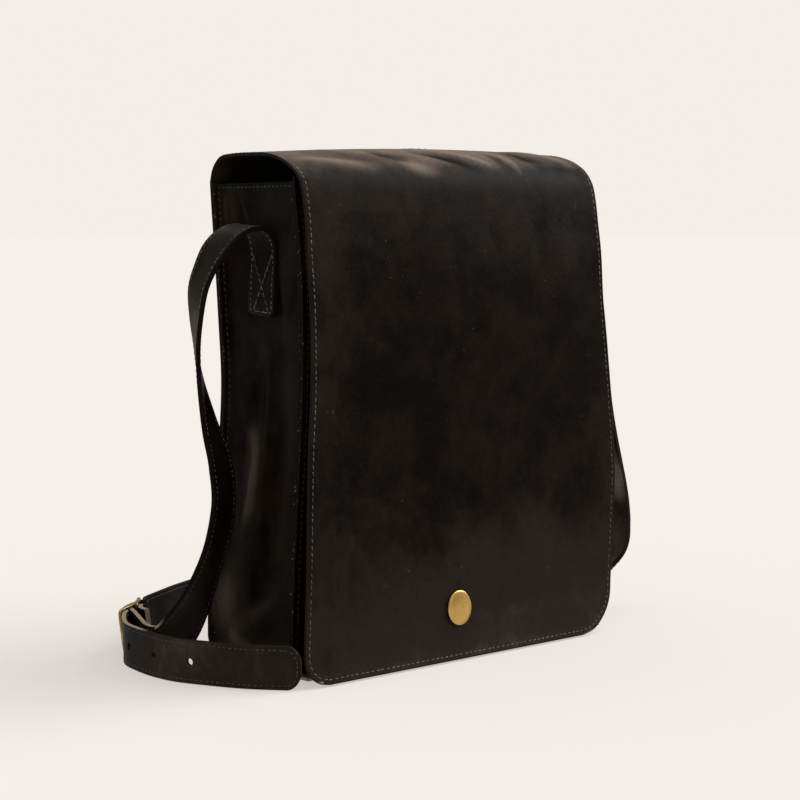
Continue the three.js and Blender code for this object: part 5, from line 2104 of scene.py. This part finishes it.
@dataclass
class Closure:
    """The plain oval brass plate low on the flap. Sizes are millimetres."""

    finishes: Finishes
    body: Body
    width: float = 22.0
    height: float = 25.0
    x: float = -11.5
    z: float = 37.5
    lean: float = -0.07
    stand_off: float = 0.6
    sides: int = 72
    front_row: int = 11
    tries: int = 2000

    def face(self) -> float:
        """Finds the flap's row at the plate's height among many even ones.

        Returns:
            Y of the flap's middle behind the plate.
        """
        along = np.linspace(self.front_row, len(FLAP) - 1, self.tries)
        row = along[np.argmin(np.abs(self.body.flap.at("z", along) - self.z))]
        return float(self.body.flap_points(row, self.x / self.body.flap.at("right", row))[1])

    def build(self) -> None:
        """Makes the plate.

        It is a profile turned about its middle, with a rolled rim and a low dome, stretched in height.
        """
        profile = np.array(PLATE_PROFILE)
        turn = np.linspace(0, 2 * np.pi, self.sides, endpoint=False)
        radius, out = profile[:, :1] * self.width / 2, profile[:, 1:]
        x = radius * np.cos(turn)
        z = radius * np.sin(turn) * self.height / self.width
        y = -out + 0 * x
        tilt_cos, tilt_sin = math.cos(self.lean), math.sin(self.lean)
        front = self.face() - self.body.leather / 2 - self.stand_off
        y, z = y * tilt_cos - z * tilt_sin, y * tilt_sin + z * tilt_cos
        points = np.stack([self.x + x, front + y, self.z + z], axis=2)
        parts = MeshParts()
        rows, columns = points.shape[:2]
        parts.add(points.reshape(-1, 3), grid_quads(rows, columns, closed=True))
        parts.cap(np.arange(columns)[::-1])
        parts.cap((rows - 1) * columns + np.arange(columns))
        settle(parts.build("closure_plate_brass", (self.finishes.plate,)), "plate_brass", "closure_plate")


@dataclass
class Studio:
    """Floor, light and camera. The camera's place is in metres and its angles in degrees."""

    camera_at: Triple = (-0.8807, -1.0368, 0.3046)
    camera_turn: float = -40.0
    camera_drop: float = 5.222
    lens: float = 83.7
    sensor: float = 36.0
    sight: float = 400.0
    pale: Colour = (0.896, 0.855, 0.799)
    side_light: float = 0.3
    top_light: float = 1.0
    top_from: float = 0.2
    top_to: float = 0.95
    sun_share: float = 0.9
    sun_way: Triple = (0.85, -0.35, 0.75)
    sun_angle: float = 48.0
    glow: float = 0.56
    floor_glow: float = 1.03
    floor_half: float = 60.0
    light_steps: int = 400

    def build(self) -> None:
        """Sets the camera, a pale surround lit from above, a broad soft sun and a floor as pale as it."""
        scene = bpy.context.scene
        scene.view_settings.view_transform = "Standard"
        camera = bpy.data.objects.new("camera", bpy.data.cameras.new("camera"))
        camera.location = self.camera_at
        camera.rotation_euler = (math.radians(90 - self.camera_drop), 0, math.radians(self.camera_turn))
        camera.data.lens = self.lens
        camera.data.sensor_width = self.sensor
        camera.data.clip_end = self.sight
        scene.collection.objects.link(camera)
        scene.camera = camera
        self.surround()
        self.sun()
        self.floor()

    def surround(self) -> None:
        """A pale backdrop; its light grows from the horizon to the zenith, as under a wide soft box."""
        world = bpy.data.worlds.new("pale_surround")
        graph = Graph(world)
        way = graph.node("ShaderNodeTexCoord", {}, {}, "Generated")
        strength = self.side_light + graph.height(way).step(self.top_from, self.top_to) * self.top_light
        pale = (*self.pale, 1.0)
        lit = graph.node("ShaderNodeBackground", {}, {"Color": pale, "Strength": strength})
        seen = graph.node("ShaderNodeBackground", {}, {"Color": pale})
        looked_at = graph.node("ShaderNodeLightPath", {}, {}, "Is Camera Ray")
        shader = graph.node("ShaderNodeMixShader", {}, {0: looked_at, 1: lit, 2: seen})
        graph.node("ShaderNodeOutputWorld", {}, {"Surface": shader})
        bpy.context.scene.world = world

    def sun(self) -> None:
        """One broad sun, as a large soft box far off."""
        sun = bpy.data.lights.new("soft_box", "SUN")
        way = unit(np.array(self.sun_way))
        sun.energy = self.sun_share * math.pi / way[2]
        sun.angle = math.radians(self.sun_angle)
        lamp = bpy.data.objects.new("soft_box", sun)
        lamp.rotation_euler = (0, math.acos(way[2]), math.atan2(way[1], way[0]))
        bpy.context.scene.collection.objects.link(lamp)

    def floor(self) -> None:
        """A pale floor, partly a light table, whose lit colour equals the surround's.

        Its light is the surround's, integral of 2 s strength(s) over s from 0 to 1, s being the sine of the
        height, plus the sun's.
        """
        half = self.floor_half
        mesh = bpy.data.meshes.new("floor")
        corners = [(-half, -half, 0), (half, -half, 0), (half, half, 0), (-half, half, 0)]
        mesh.from_pydata(corners, [], [(0, 1, 2, 3)])
        floor = bpy.data.objects.new("floor", mesh)
        rise = (np.arange(self.light_steps) + 0.5) / self.light_steps
        strength = self.side_light + self.top_light * smooth_step(rise, self.top_from, self.top_to)
        sky = float(np.mean(2 * rise * strength))
        graph = Graph(bpy.data.materials.new("pale_floor"))
        shade = tuple(value / (value * sky + self.sun_share) for value in self.pale)
        lit = graph.node("ShaderNodeBsdfDiffuse", {}, {"Color": (*shade, 1.0)})
        glow = {"Color": (*self.pale, 1.0), "Strength": self.floor_glow}
        glowing = graph.node("ShaderNodeEmission", {}, glow)
        shader = graph.node("ShaderNodeMixShader", {}, {0: self.glow, 1: lit, 2: glowing})
        graph.node("ShaderNodeOutputMaterial", {}, {"Surface": shader})
        mesh.materials.append(graph.owner)
        bpy.context.scene.collection.objects.link(floor)


def main() -> None:
    """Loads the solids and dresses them."""
    logging.basicConfig(level=logging.INFO, format="%(name)s %(message)s")
    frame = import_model()
    Studio().build()
    finishes = make_finishes()
    body = Body(finishes)
    body.build()
    StrapAndBuckle(finishes).build()
    Closure(finishes, body).build()
    stud = frame["nodes"]["closure_stud"]
    stud.data.materials.clear()
    stud.data.materials.append(finishes.buckle)
    LOG.info("%s: %d faces", stud.name, len(stud.data.polygons))


if __name__ == "__main__":
    main()
